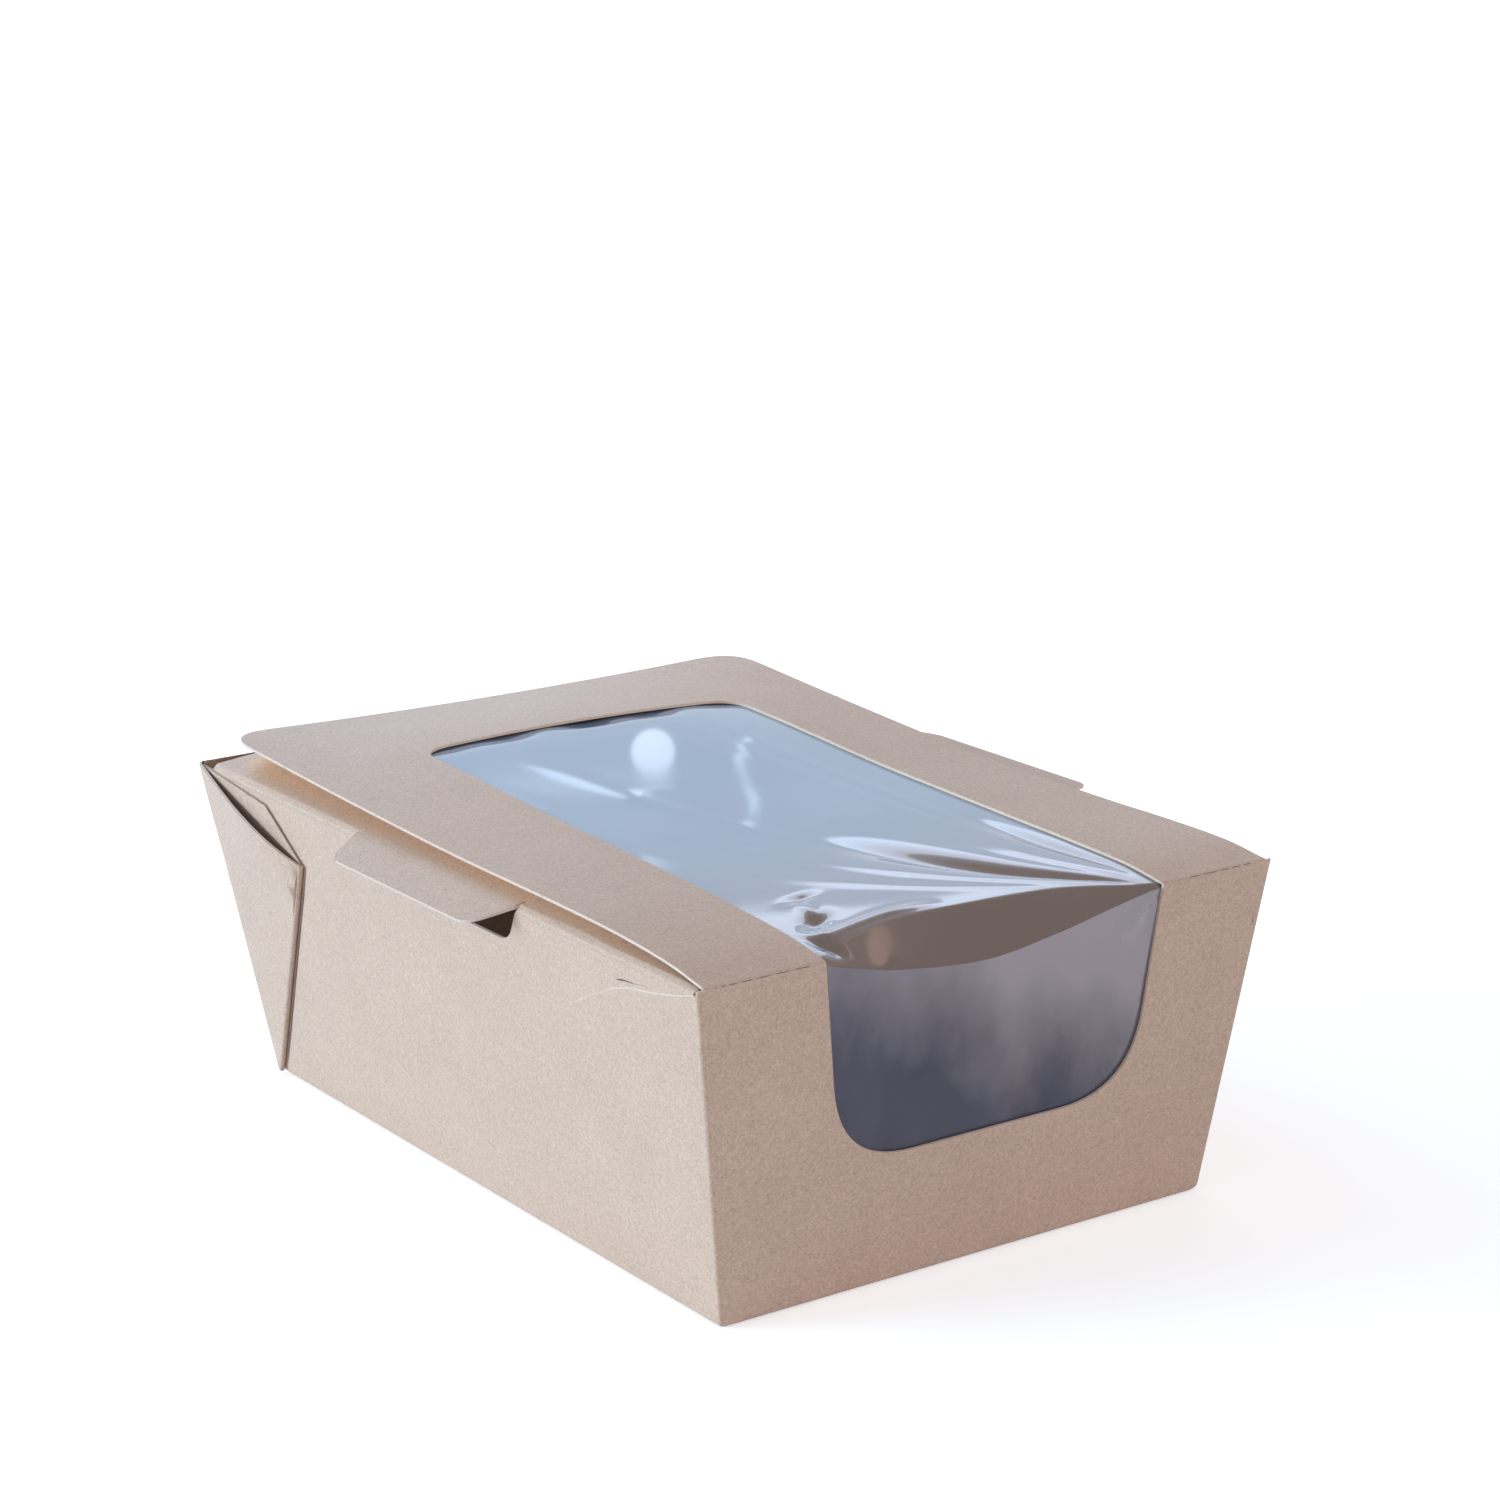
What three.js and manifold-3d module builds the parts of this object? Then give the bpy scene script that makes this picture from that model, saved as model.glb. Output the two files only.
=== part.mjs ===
// Hot food box: a folded kraft paperboard box with flared walls, a lid hinged on
// the top of the short window wall, and a clear film window in lid and front wall.
// Millimetres. +Z is up, the window end faces -Y, and the origin is on the floor
// in the middle of the box's outline.

import * as THREE from "three";
import { mergeVertices } from "three/addons/utils/BufferGeometryUtils.js";
import Module from "manifold-3d";

const wasm = await Module();
wasm.setup();

// Base and walls
const BASE_WIDTH = 100;
const BASE_LENGTH = 149;
const WALL_HEIGHT = 60.7;
const SIDE_FLARE = 8.5;
const FRONT_FLARE = 7.8;
const REAR_FLARE = 10.2;
const BOARD = 0.5;
const FOLD_RADIUS = 1;

// Windows: the lid opening and the front opening meet at the hinge fold
const LID_SIDE_MARGIN = 22.6;
const LID_REAR_MARGIN = 32.5;
const LID_WINDOW_RADIUS = 6.5;
const SILL_HEIGHT = 23.5;
const LEFT_TAPER = 5.6;
const RIGHT_TAPER = 2.6;
const FRONT_WINDOW_RADIUS = 15;

// Film, glued behind the board with an overlap all round
const FILM = 0.2;
const FILM_GAP = 0.1;
const FILM_OVERLAP = 5;
const FILM_FOLD_GAP = 0.5;

// Lid, and how far its edges lift above the hinge fold at set distances from it
const LID_SIDE_SETBACK = 1.5;
const LID_REAR_SETBACK = 7.5;
const LID_CORNER_RADIUS = 9;
const HINGE_GAP = 0.3;
const LEFT_EDGE_LIFT = [[0, 0], [10, 1.7], [25, 2.8], [43, 3.2], [78, 3.5], [118, 4.7], [159, 6.5]];
const RIGHT_EDGE_LIFT = [[0, 0], [10, 1.1], [25, 1.3], [43, 1.1], [78, 1.3], [118, 3.1], [159, 5.5]];
const CROWN = [[0, 0], [22, 0.3], [43, 1.3], [73, 2.5], [123, 3.1], [159, -1]];

// Side flaps, folded inward under the lid
const FLAP_WIDTH = 18;
const FLAP_RISE_DEG = 10;
const FLAP_FRONT_SETBACK = 1.5;
const FLAP_REAR_SETBACK = 4;
const FLAP_FRONT_SLANT = 17;
const FLAP_REAR_SLANT = 4;
const LID_REST_GAP = 0.3;

// Tab cut out of each long wall: it stays with the flap and leaves a vent notch
const TAB_LENGTH = 7.3;
const TAB_WIDTH = 54;
const TAB_CENTRE_Y = -3;
const TAB_TAPER = 4;
const TAB_RADIUS = 3;
const LEFT_TAB_DROOP_DEG = 18;
const RIGHT_TAB_DROOP_DEG = 10;
const CUT_GAP = 0.15;

// Corner webs: folded outside at the rear, inside at the front
const REAR_WEB_REACH = 36;
const REAR_WEB_DROP = 12;
const REAR_WEB_BULGE = 1.1;
const INNER_LAYER_KINK = 25;
const INNER_LAYER_DROP = 3;
const FRONT_WEB_REACH = 40;
const FRONT_WEB_DROP = 13;
const FOOT_WIDTH = 1.2;

// How far one layer is let into the next, so that the folded board is one solid
const SUNK = 0.1;
const PROUD = 0.02;

const LEFT = -1;
const RIGHT = 1;

// Places worked out from the sizes
const baseShiftY = (FRONT_FLARE - REAR_FLARE) / 2;
const topHalfWidth = BASE_WIDTH / 2 + SIDE_FLARE;
const hingeY = frontY(WALL_HEIGHT);
const rearTopY = rearY(WALL_HEIGHT);
const lidHalfWidth = topHalfWidth - LID_SIDE_SETBACK;
const lidRearY = rearTopY - LID_REAR_SETBACK;
const windowHalfWidth = lidHalfWidth - LID_SIDE_MARGIN;
const windowRearY = lidRearY - LID_REAR_MARGIN;
const sideLean = Math.atan2(SIDE_FLARE, WALL_HEIGHT);
const foldReach = FOLD_RADIUS * Math.tan((Math.PI / 2 + sideLean) / 2);
const flapFrontY = hingeY + FLAP_FRONT_SETBACK;
const flapRearY = rearTopY - FLAP_REAR_SETBACK;

// The outer faces of the walls at a height above the floor
function wallX(z) {
  return BASE_WIDTH / 2 + SIDE_FLARE * z / WALL_HEIGHT;
}

function frontY(z) {
  return baseShiftY - BASE_LENGTH / 2 - FRONT_FLARE * z / WALL_HEIGHT;
}

function rearY(z) {
  return baseShiftY + BASE_LENGTH / 2 + REAR_FLARE * z / WALL_HEIGHT;
}

// A smooth line through stations of [distance, value], with level ends held straight
function along(stations, distance) {
  const last = stations.length - 1;
  const slope = (i) => {
    const a = stations[Math.max(i - 1, 0)];
    const b = stations[Math.min(i + 1, last)];
    return (b[1] - a[1]) / (b[0] - a[0]);
  };
  if (distance >= stations[last][0]) {
    return stations[last][1] + slope(last) * (distance - stations[last][0]);
  }
  const i = Math.max(stations.findIndex((s) => s[0] > distance) - 1, 0);
  const span = stations[i + 1][0] - stations[i][0];
  const t = (distance - stations[i][0]) / span;
  const rise = stations[i + 1][1] - stations[i][1];
  const startSlope = slope(i) * span;
  const endSlope = slope(i + 1) * span;
  const square = t * t * (3 - 2 * t);
  return stations[i][1] + rise * square
    + startSlope * t * (1 - t) * (1 - t) - endSlope * t * t * (1 - t);
}

// Height of the lid's upper face
function lidTop(x, y) {
  const distance = Math.max(y - hingeY, 0);
  const share = (x / lidHalfWidth + 1) / 2;
  const edges = along(LEFT_EDGE_LIFT, distance) * (1 - share) + along(RIGHT_EDGE_LIFT, distance) * share;
  const bow = along(CROWN, distance) * (1 - (x / lidHalfWidth) ** 2);
  return WALL_HEIGHT + edges + bow;
}

// Closed geometry from points and triangles, with its faces turned outward
function closed(points, triangles) {
  let volume = 0;
  for (const [a, b, c] of triangles) {
    const cross = new THREE.Vector3().crossVectors(points[b], points[c]);
    volume += points[a].dot(cross);
  }
  const index = triangles.flatMap(([a, b, c]) => (volume < 0 ? [a, c, b] : [a, b, c]));
  const geometry = new THREE.BufferGeometry();
  geometry.setAttribute("position", new THREE.Float32BufferAttribute(points.flatMap((p) => p.toArray()), 3));
  geometry.setIndex(index);
  return geometry;
}

// A solid between two rings of points that match one to one, capped at both ends
function loft(rings) {
  const count = rings[0].length;
  const triangles = [];
  for (let level = 0; level < rings.length - 1; level++) {
    for (let i = 0; i < count; i++) {
      const a = level * count + i;
      const b = level * count + (i + 1) % count;
      triangles.push([a, b, b + count], [a, b + count, a + count]);
    }
  }
  const top = (rings.length - 1) * count;
  for (let i = 1; i < count - 1; i++) {
    triangles.push([0, i + 1, i], [top, top + i, top + i + 1]);
  }
  return closed(rings.flat(), triangles);
}

// A bent sheet: upper(i, j) and lower(i, j) give its two faces on a grid
function bentSheet(rows, columns, upper, lower) {
  const points = [];
  const triangles = [];
  const faceSize = (rows + 1) * (columns + 1);
  const at = (i, j, face) => face * faceSize + i * (columns + 1) + j;
  for (const face of [upper, lower]) {
    for (let i = 0; i <= rows; i++) {
      for (let j = 0; j <= columns; j++) points.push(face(i, j));
    }
  }
  for (let i = 0; i < rows; i++) {
    for (let j = 0; j < columns; j++) {
      triangles.push([at(i, j, 0), at(i + 1, j, 0), at(i + 1, j + 1, 0)]);
      triangles.push([at(i, j, 0), at(i + 1, j + 1, 0), at(i, j + 1, 0)]);
      triangles.push([at(i, j, 1), at(i + 1, j + 1, 1), at(i + 1, j, 1)]);
      triangles.push([at(i, j, 1), at(i, j + 1, 1), at(i + 1, j + 1, 1)]);
    }
  }
  const wall = (a, b) => {
    triangles.push([at(...a, 0), at(...b, 0), at(...b, 1)]);
    triangles.push([at(...a, 0), at(...b, 1), at(...a, 1)]);
  };
  for (let j = 0; j < columns; j++) {
    wall([0, j], [0, j + 1]);
    wall([rows, j + 1], [rows, j]);
  }
  for (let i = 0; i < rows; i++) {
    wall([i + 1, 0], [i, 0]);
    wall([i, columns], [i + 1, columns]);
  }
  return closed(points, triangles);
}

// A flat outline with its corners rounded, each by its own radius
function roundedOutline(corners, radii) {
  const shape = new THREE.Shape();
  corners.forEach(([x, y], i) => {
    const here = new THREE.Vector2(x, y);
    const before = new THREE.Vector2(...corners[(i + corners.length - 1) % corners.length]);
    const after = new THREE.Vector2(...corners[(i + 1) % corners.length]);
    const start = here.clone().add(before.sub(here).setLength(radii[i]));
    const end = here.clone().add(after.sub(here).setLength(radii[i]));
    if (i === 0) shape.moveTo(start.x, start.y);
    else shape.lineTo(start.x, start.y);
    if (radii[i] > 0) shape.quadraticCurveTo(here.x, here.y, end.x, end.y);
  });
  shape.closePath();
  return shape;
}

function extruded(shape, from, to) {
  const geometry = new THREE.ExtrudeGeometry(shape, { depth: to - from, bevelEnabled: false, curveSegments: 8 });
  return geometry.translate(0, 0, from);
}

// An outline drawn in x and z, pushed along y; and one drawn in y and z, pushed along x
function extrudedAlongY(shape, from, to) {
  return extruded(shape, -to, -from).rotateX(Math.PI / 2);
}

function extrudedAlongX(shape, from, to) {
  return extruded(shape, from, to).rotateY(Math.PI / 2).rotateX(Math.PI / 2);
}

function block(low, high) {
  const size = high.map((h, i) => h - low[i]);
  const middle = high.map((h, i) => (h + low[i]) / 2);
  return new THREE.BoxGeometry(...size).translate(...middle);
}

function solid(geometry) {
  const bare = geometry.clone();
  bare.deleteAttribute("normal");
  bare.deleteAttribute("uv");
  const merged = mergeVertices(bare, 1e-5);
  return new wasm.Manifold(new wasm.Mesh({
    numProp: 3,
    vertProperties: new Float32Array(merged.attributes.position.array),
    triVerts: new Uint32Array(merged.index.array),
  }));
}

function namedMesh(name, body, color, roughness, opacity = 1) {
  const { vertProperties, triVerts } = body.getMesh();
  const geometry = new THREE.BufferGeometry();
  geometry.setAttribute("position", new THREE.Float32BufferAttribute(vertProperties, 3));
  geometry.setIndex(Array.from(triVerts));
  geometry.computeVertexNormals();
  const material = new THREE.MeshStandardMaterial({ color, roughness, metalness: 0, opacity });
  material.transparent = opacity < 1;
  const mesh = new THREE.Mesh(geometry, material);
  mesh.name = name;
  return mesh;
}

// One level of the walls' rounded outline, moved inward by an inset
function wallRing(z, inset, radius) {
  const x = wallX(z) - inset;
  const front = frontY(z) + inset;
  const rear = rearY(z) - inset;
  const centres = [[x, rear, 0], [-x, rear, 1], [-x, front, 2], [x, front, 3]];
  const cornerSteps = 4;
  const ring = [];
  for (const [cornerX, cornerY, quarter] of centres) {
    const centreX = cornerX - Math.sign(cornerX) * radius;
    const centreY = cornerY - (quarter < 2 ? radius : -radius);
    for (let i = 0; i <= cornerSteps; i++) {
      const angle = (quarter + i / cornerSteps) * Math.PI / 2;
      ring.push(new THREE.Vector3(centreX + radius * Math.cos(angle), centreY + radius * Math.sin(angle), z));
    }
  }
  return ring;
}

// A tub with a rounded bottom fold, from its floor to its top, inset from the outer face
function tub(floor, top, inset, radius) {
  const foldSteps = 4;
  const rings = [];
  for (let i = 0; i <= foldSteps; i++) {
    const angle = i / foldSteps * Math.PI / 2;
    const z = floor + radius * (1 - Math.cos(angle));
    rings.push(wallRing(z, inset + radius * (1 - Math.sin(angle)), radius));
  }
  rings.push(wallRing(top, inset, radius));
  return loft(rings);
}

// The outline of the front opening; grow widens it, for the film behind it
function frontWindowOutline(top, grow) {
  const half = windowHalfWidth + grow;
  const sill = SILL_HEIGHT - grow;
  const corners = [
    [-half, top],
    [-half + LEFT_TAPER, sill],
    [half - RIGHT_TAPER, sill],
    [half, top],
  ];
  return roundedOutline(corners, [0, FRONT_WINDOW_RADIUS, FRONT_WINDOW_RADIUS, 0]);
}

// The trapezoid shared by the tab and its notch, reaching away from the fold line
function tabOutline(fold, reach, root, grow) {
  const half = TAB_WIDTH / 2 + grow;
  const way = Math.sign(reach);
  const end = fold + reach + way * grow;
  const corners = [
    [fold + root, TAB_CENTRE_Y - half],
    [fold, TAB_CENTRE_Y - half],
    [end, TAB_CENTRE_Y - half + TAB_TAPER],
    [end, TAB_CENTRE_Y + half - TAB_TAPER],
    [fold, TAB_CENTRE_Y + half],
    [fold + root, TAB_CENTRE_Y + half],
  ];
  return roundedOutline(corners, [0, 0, TAB_RADIUS, TAB_RADIUS, 0, 0]);
}

// Turns a section of [inward distance from the fold, height] into a sheet along y
function sectionSheet(side, sectionAt, from, to, steps) {
  const stations = [];
  for (let i = 0; i <= steps; i++) {
    const y = from + (to - from) * i / steps;
    const section = sectionAt(y);
    const outer = section.map(([u, z]) => new THREE.Vector2(u, z));
    const inner = outer.map((p, j) => {
      const before = outer[Math.max(j - 1, 0)];
      const after = outer[Math.min(j + 1, outer.length - 1)];
      const run = after.clone().sub(before).normalize();
      return p.clone().add(new THREE.Vector2(run.y, -run.x).multiplyScalar(BOARD));
    });
    stations.push({ y, outer, inner });
  }
  const place = (face) => (i, j) => {
    const point = stations[i][face][j];
    return new THREE.Vector3(side * (topHalfWidth + PROUD - point.x), stations[i].y, point.y);
  };
  return bentSheet(steps, stations[0].outer.length - 1, place("outer"), place("inner"));
}

// Height of a flap's inner edge: it springs up until the lid stops it
function flapEdgeHeight(side, y) {
  const edgeX = side * (topHalfWidth - FLAP_WIDTH);
  const free = WALL_HEIGHT + FLAP_WIDTH * Math.tan(THREE.MathUtils.degToRad(FLAP_RISE_DEG));
  const front = WALL_HEIGHT + Math.max(y - hingeY, 0) * 0.1;
  return Math.min(free, front, lidTop(edgeX, y) - BOARD - LID_REST_GAP);
}

// Flap section: up the wall, round the fold and in under the lid
function flapSection(side, y) {
  const rise = (flapEdgeHeight(side, y) - WALL_HEIGHT) / FLAP_WIDTH;
  const flapAngle = Math.atan(rise);
  const turn = Math.PI / 2 + sideLean - flapAngle;
  const reach = FOLD_RADIUS * Math.tan(turn / 2);
  const startU = reach * Math.sin(sideLean);
  const startZ = WALL_HEIGHT - reach * Math.cos(sideLean);
  const foldSteps = 5;
  const tongue = 2 * BOARD;
  const section = [[startU + tongue * Math.tan(sideLean), startZ - tongue], [startU, startZ]];
  const centreU = startU + FOLD_RADIUS * Math.cos(sideLean);
  const centreZ = startZ - FOLD_RADIUS * Math.sin(sideLean);
  for (let i = 1; i <= foldSteps; i++) {
    const angle = sideLean * -1 + turn * i / foldSteps;
    section.push([
      centreU - FOLD_RADIUS * Math.cos(angle),
      centreZ + FOLD_RADIUS * Math.sin(angle),
    ]);
  }
  const lidSteps = 5;
  for (let i = 1; i <= lidSteps; i++) {
    const u = reach + (FLAP_WIDTH - reach) * i / lidSteps;
    const limit = lidTop(side * (topHalfWidth - u), y) - BOARD - LID_REST_GAP;
    section.push([u, Math.min(WALL_HEIGHT + rise * u, limit)]);
  }
  return section;
}

// Tab section: on from the flap, over the fold line and out, drooping more with distance
function tabSection(side, droopDeg, y) {
  const rise = (flapEdgeHeight(side, y) - WALL_HEIGHT) / FLAP_WIDTH;
  const droop = Math.tan(THREE.MathUtils.degToRad(droopDeg));
  const steps = 6;
  const rootU = foldReach + 0.6;
  const section = [];
  for (let i = 0; i <= steps; i++) {
    const out = -rootU + (rootU + TAB_LENGTH) * i / steps;
    const bend = THREE.MathUtils.smoothstep(out, -rootU, TAB_LENGTH / 3);
    section.push([-out, WALL_HEIGHT - out * (rise * (1 - bend) + droop * bend)]);
  }
  return section.reverse();
}

function flapWithTab(side, droopDeg) {
  const inner = side * (topHalfWidth - FLAP_WIDTH);
  const outside = side * (topHalfWidth + 1);
  const plan = roundedOutline(
    [
      [outside, flapFrontY],
      [side * (topHalfWidth - foldReach), flapFrontY],
      [inner, flapFrontY + FLAP_FRONT_SLANT],
      [inner, flapRearY - FLAP_REAR_SLANT],
      [side * (topHalfWidth - foldReach), flapRearY],
      [outside, flapRearY],
    ],
    [0, 0, 4, 4, 0, 0],
  );
  const flap = sectionSheet(side, (y) => flapSection(side, y), flapFrontY - 1, flapRearY + 1, 30);
  const tabRoot = -side * (foldReach + 0.6);
  const tabPlan = tabOutline(side * topHalfWidth, side * TAB_LENGTH, tabRoot, -CUT_GAP);
  const halfTab = TAB_WIDTH / 2 + 1;
  const tab = sectionSheet(
    side, (y) => tabSection(side, droopDeg, y), TAB_CENTRE_Y - halfTab, TAB_CENTRE_Y + halfTab, 14);
  const floor = WALL_HEIGHT - TAB_LENGTH;
  const ceiling = WALL_HEIGHT + FLAP_WIDTH;
  return {
    flap: solid(flap).intersect(solid(extruded(plan, floor - 5, ceiling))),
    tab: solid(tab).intersect(solid(extruded(tabPlan, floor, ceiling))),
  };
}

// Moves every point of a closed geometry
function reshaped(geometry, move) {
  const bare = geometry.clone();
  bare.deleteAttribute("normal");
  bare.deleteAttribute("uv");
  const merged = mergeVertices(bare, 1e-5);
  const position = merged.attributes.position;
  const points = [];
  const triangles = [];
  for (let i = 0; i < position.count; i++) points.push(move(new THREE.Vector3().fromBufferAttribute(position, i)));
  for (let i = 0; i < merged.index.count; i += 3) triangles.push([0, 1, 2].map((k) => merged.index.getX(i + k)));
  return closed(points, triangles);
}

// A layer of board lying on a long wall, drawn in y and z, between two distances from
// the wall's outer face; a corner with a third number stands that much further out
function layerOnWall(side, corners, from, to) {
  const shape = new THREE.Shape(corners.map(([y, z]) => new THREE.Vector2(y, z)));
  const flat = extrudedAlongX(shape, from, to);
  return solid(reshaped(flat, (p) => {
    const corner = corners.find(([y, z]) => Math.hypot(y - p.y, z - p.z) < 1e-3);
    const lift = corner[2] ?? 0;
    return new THREE.Vector3(side * (wallX(p.z) + p.x + lift), p.y, p.z);
  }));
}

// Rear web: the layer folded back on the wall, and the outer layer that bulges off it
function rearWeb(side) {
  const apex = [rearTopY - REAR_WEB_REACH, WALL_HEIGHT - REAR_WEB_DROP];
  const heel = [rearY(FOLD_RADIUS), FOLD_RADIUS];
  const foot = [heel[0] - FOOT_WIDTH, FOLD_RADIUS];
  const kink = [rearTopY - INNER_LAYER_KINK, WALL_HEIGHT - INNER_LAYER_DROP];
  const innerTop = [rearTopY, WALL_HEIGHT - BOARD];
  const innerLayer = layerOnWall(side, [heel, innerTop, kink, apex, foot], -BOARD / 2, BOARD);
  const middle = [
    rearTopY - REAR_WEB_REACH / 2,
    WALL_HEIGHT - REAR_WEB_DROP / 2 + BOARD,
    REAR_WEB_BULGE,
  ];
  const outline = [heel, [rearTopY, WALL_HEIGHT], middle, apex, foot];
  const outerLayer = layerOnWall(side, outline, BOARD - SUNK, 2 * BOARD);
  return innerLayer.add(outerLayer);
}

// Front web: two layers folded flat inside the wall
function frontWeb(side) {
  const inset = BOARD / 2;
  const apex = [hingeY + FRONT_WEB_REACH, WALL_HEIGHT - FRONT_WEB_DROP];
  const kink = [hingeY + INNER_LAYER_KINK, WALL_HEIGHT - 2 * INNER_LAYER_DROP];
  const top = [hingeY + inset, WALL_HEIGHT - 3 * BOARD];
  const heel = [frontY(FOLD_RADIUS) + inset, FOLD_RADIUS];
  const foot = [heel[0] + FOOT_WIDTH, FOLD_RADIUS];
  return layerOnWall(side, [heel, top, kink, apex, foot], -3 * BOARD, SUNK - BOARD);
}

function makeTray() {
  let tray = solid(tub(0, WALL_HEIGHT, 0, FOLD_RADIUS));
  tray = tray.subtract(solid(tub(BOARD, WALL_HEIGHT + 5, BOARD, FOLD_RADIUS - BOARD)));
  for (const side of [LEFT, RIGHT]) {
    tray = tray.add(frontWeb(side)).add(rearWeb(side));
    const wallTop = WALL_HEIGHT - foldReach * Math.cos(sideLean) - BOARD;
    const inner = side * (topHalfWidth - 3);
    const outer = side * (topHalfWidth + BOARD / 2);
    tray = tray.subtract(solid(block(
      [Math.min(inner, outer), flapFrontY, wallTop],
      [Math.max(inner, outer), flapRearY, WALL_HEIGHT + 1],
    )));
    const { flap, tab } = flapWithTab(side, side === LEFT ? LEFT_TAB_DROOP_DEG : RIGHT_TAB_DROOP_DEG);
    tray = tray.add(flap);
    tray = tray.subtract(notchCutter(side)).add(tab);
  }
  const front = frontWindowOutline(WALL_HEIGHT + 1, 0);
  const reach = FRONT_FLARE + 3 * BOARD;
  tray = tray.subtract(solid(extrudedAlongY(front, hingeY - 1, hingeY + reach)));
  return tray.subtract(hingeMitre(-1));
}

// The notch below the fold, and the rolled fold above it that the tab takes the place of
function notchCutter(side) {
  const depth = TAB_LENGTH * Math.cos(sideLean);
  const under = WALL_HEIGHT - BOARD - CUT_GAP;
  const shape = tabOutline(WALL_HEIGHT, -depth, 0, 0);
  const turned = new THREE.Shape(shape.getPoints(8).map((p) => new THREE.Vector2(p.y, p.x)));
  const near = topHalfWidth - 4;
  const far = topHalfWidth + 3;
  const [from, to] = side === LEFT ? [-far, -near] : [near, far];
  const whole = solid(extrudedAlongX(turned, from, to));
  const half = TAB_WIDTH / 2;
  const wallPart = block(
    [from, TAB_CENTRE_Y - half, WALL_HEIGHT - depth - 1], [to, TAB_CENTRE_Y + half, under]);
  const lower = whole.intersect(solid(wallPart));
  const rim = topHalfWidth - foldReach;
  const [rimFrom, rimTo] = side === LEFT ? [-far, -rim] : [rim, far];
  const upper = block(
    [rimFrom, TAB_CENTRE_Y - half, under - 0.1], [rimTo, TAB_CENTRE_Y + half, WALL_HEIGHT + 1]);
  return lower.add(solid(upper));
}

// What is cut away on one side of the 45 degree plane through the hinge fold
function hingeMitre(way) {
  const gap = HINGE_GAP / Math.SQRT2;
  const deep = 2 * BOARD;
  const corners = [
    [hingeY - deep, WALL_HEIGHT + deep + way * gap],
    [hingeY + deep, WALL_HEIGHT - deep + way * gap],
    way > 0 ? [hingeY - deep, WALL_HEIGHT - deep] : [hingeY + deep, WALL_HEIGHT + deep],
  ];
  const far = topHalfWidth + TAB_LENGTH;
  return solid(extrudedAlongX(roundedOutline(corners, [0, 0, 0]), -far, far));
}

function makeLid() {
  const rows = 32;
  const columns = 10;
  const spanX = lidHalfWidth + 1;
  const spanY = lidRearY + 1 - hingeY;
  const at = (drop) => (i, j) => {
    const x = (2 * j / columns - 1) * spanX;
    const y = hingeY + spanY * i / rows;
    return new THREE.Vector3(x, y, lidTop(x, y) - drop);
  };
  const sheet = solid(bentSheet(rows, columns, at(0), at(BOARD)));
  const outline = roundedOutline(
    [
      [-lidHalfWidth, hingeY - 1],
      [lidHalfWidth, hingeY - 1],
      [lidHalfWidth, lidRearY],
      [-lidHalfWidth, lidRearY],
    ],
    [0, 0, LID_CORNER_RADIUS, LID_CORNER_RADIUS],
  );
  const opening = lidWindowOutline(hingeY - 2, 0);
  const low = WALL_HEIGHT - 5;
  const high = WALL_HEIGHT + 20;
  return sheet
    .intersect(solid(extruded(outline, low, high)))
    .subtract(solid(extruded(opening, low, high)))
    .subtract(hingeMitre(1));
}

function lidWindowOutline(front, grow) {
  const half = windowHalfWidth + grow;
  const rear = windowRearY + grow;
  const corners = [[-half, front], [half, front], [half, rear], [-half, rear]];
  return roundedOutline(corners, [0, 0, LID_WINDOW_RADIUS, LID_WINDOW_RADIUS]);
}

// The film under the lid follows the lid's bow
function makeLidFilm() {
  const rows = 24;
  const columns = 6;
  const spanX = windowHalfWidth + FILM_OVERLAP + 1;
  const spanY = windowRearY + FILM_OVERLAP + 1 - hingeY;
  const at = (drop) => (i, j) => {
    const x = (2 * j / columns - 1) * spanX;
    const y = hingeY + spanY * i / rows;
    return new THREE.Vector3(x, y, lidTop(x, y) - drop);
  };
  const upperDrop = BOARD + FILM_GAP;
  const sheet = solid(bentSheet(rows, columns, at(upperDrop), at(upperDrop + FILM)));
  const start = hingeY + upperDrop + FILM_FOLD_GAP;
  const outline = lidWindowOutline(start, FILM_OVERLAP);
  return sheet.intersect(solid(extruded(outline, WALL_HEIGHT - 5, WALL_HEIGHT + 20)));
}

// The film behind the front wall is flat
function makeFrontFilm() {
  const top = WALL_HEIGHT - BOARD - FILM_GAP - FILM_FOLD_GAP;
  const near = BOARD + FILM_GAP;
  const lean = Math.cos(Math.atan2(FRONT_FLARE, WALL_HEIGHT));
  const floor = SILL_HEIGHT - FILM_OVERLAP - 1;
  const half = windowHalfWidth + FILM_OVERLAP + 1;
  const slab = (inset) => [
    [-half, floor], [half, floor], [half, WALL_HEIGHT], [-half, WALL_HEIGHT],
  ].map(([x, z]) => new THREE.Vector3(x, frontY(z) + inset / lean, z));
  const sheet = solid(loft([slab(near), slab(near + FILM)]));
  const outline = frontWindowOutline(top, FILM_OVERLAP);
  return sheet.intersect(solid(extrudedAlongY(outline, hingeY - 1, hingeY + FRONT_FLARE + 5)));
}

const kraft = 0xc2ab97;
const clear = 0xa9bdd4;
const box = new THREE.Group();
box.add(
  namedMesh("tray", makeTray(), kraft, 0.9),
  namedMesh("lid", makeLid(), kraft, 0.9),
  namedMesh("lid_window_film", makeLidFilm(), clear, 0.08, 0.4),
  namedMesh("front_window_film", makeFrontFilm(), clear, 0.08, 0.4),
);

export default box;
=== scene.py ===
import math

import bmesh
import bpy
import numpy as np
from mathutils import Matrix, Vector
from mathutils.bvhtree import BVHTree
from mathutils.geometry import delaunay_2d_cdt
from mathutils.interpolate import poly_3d_calc


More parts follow.
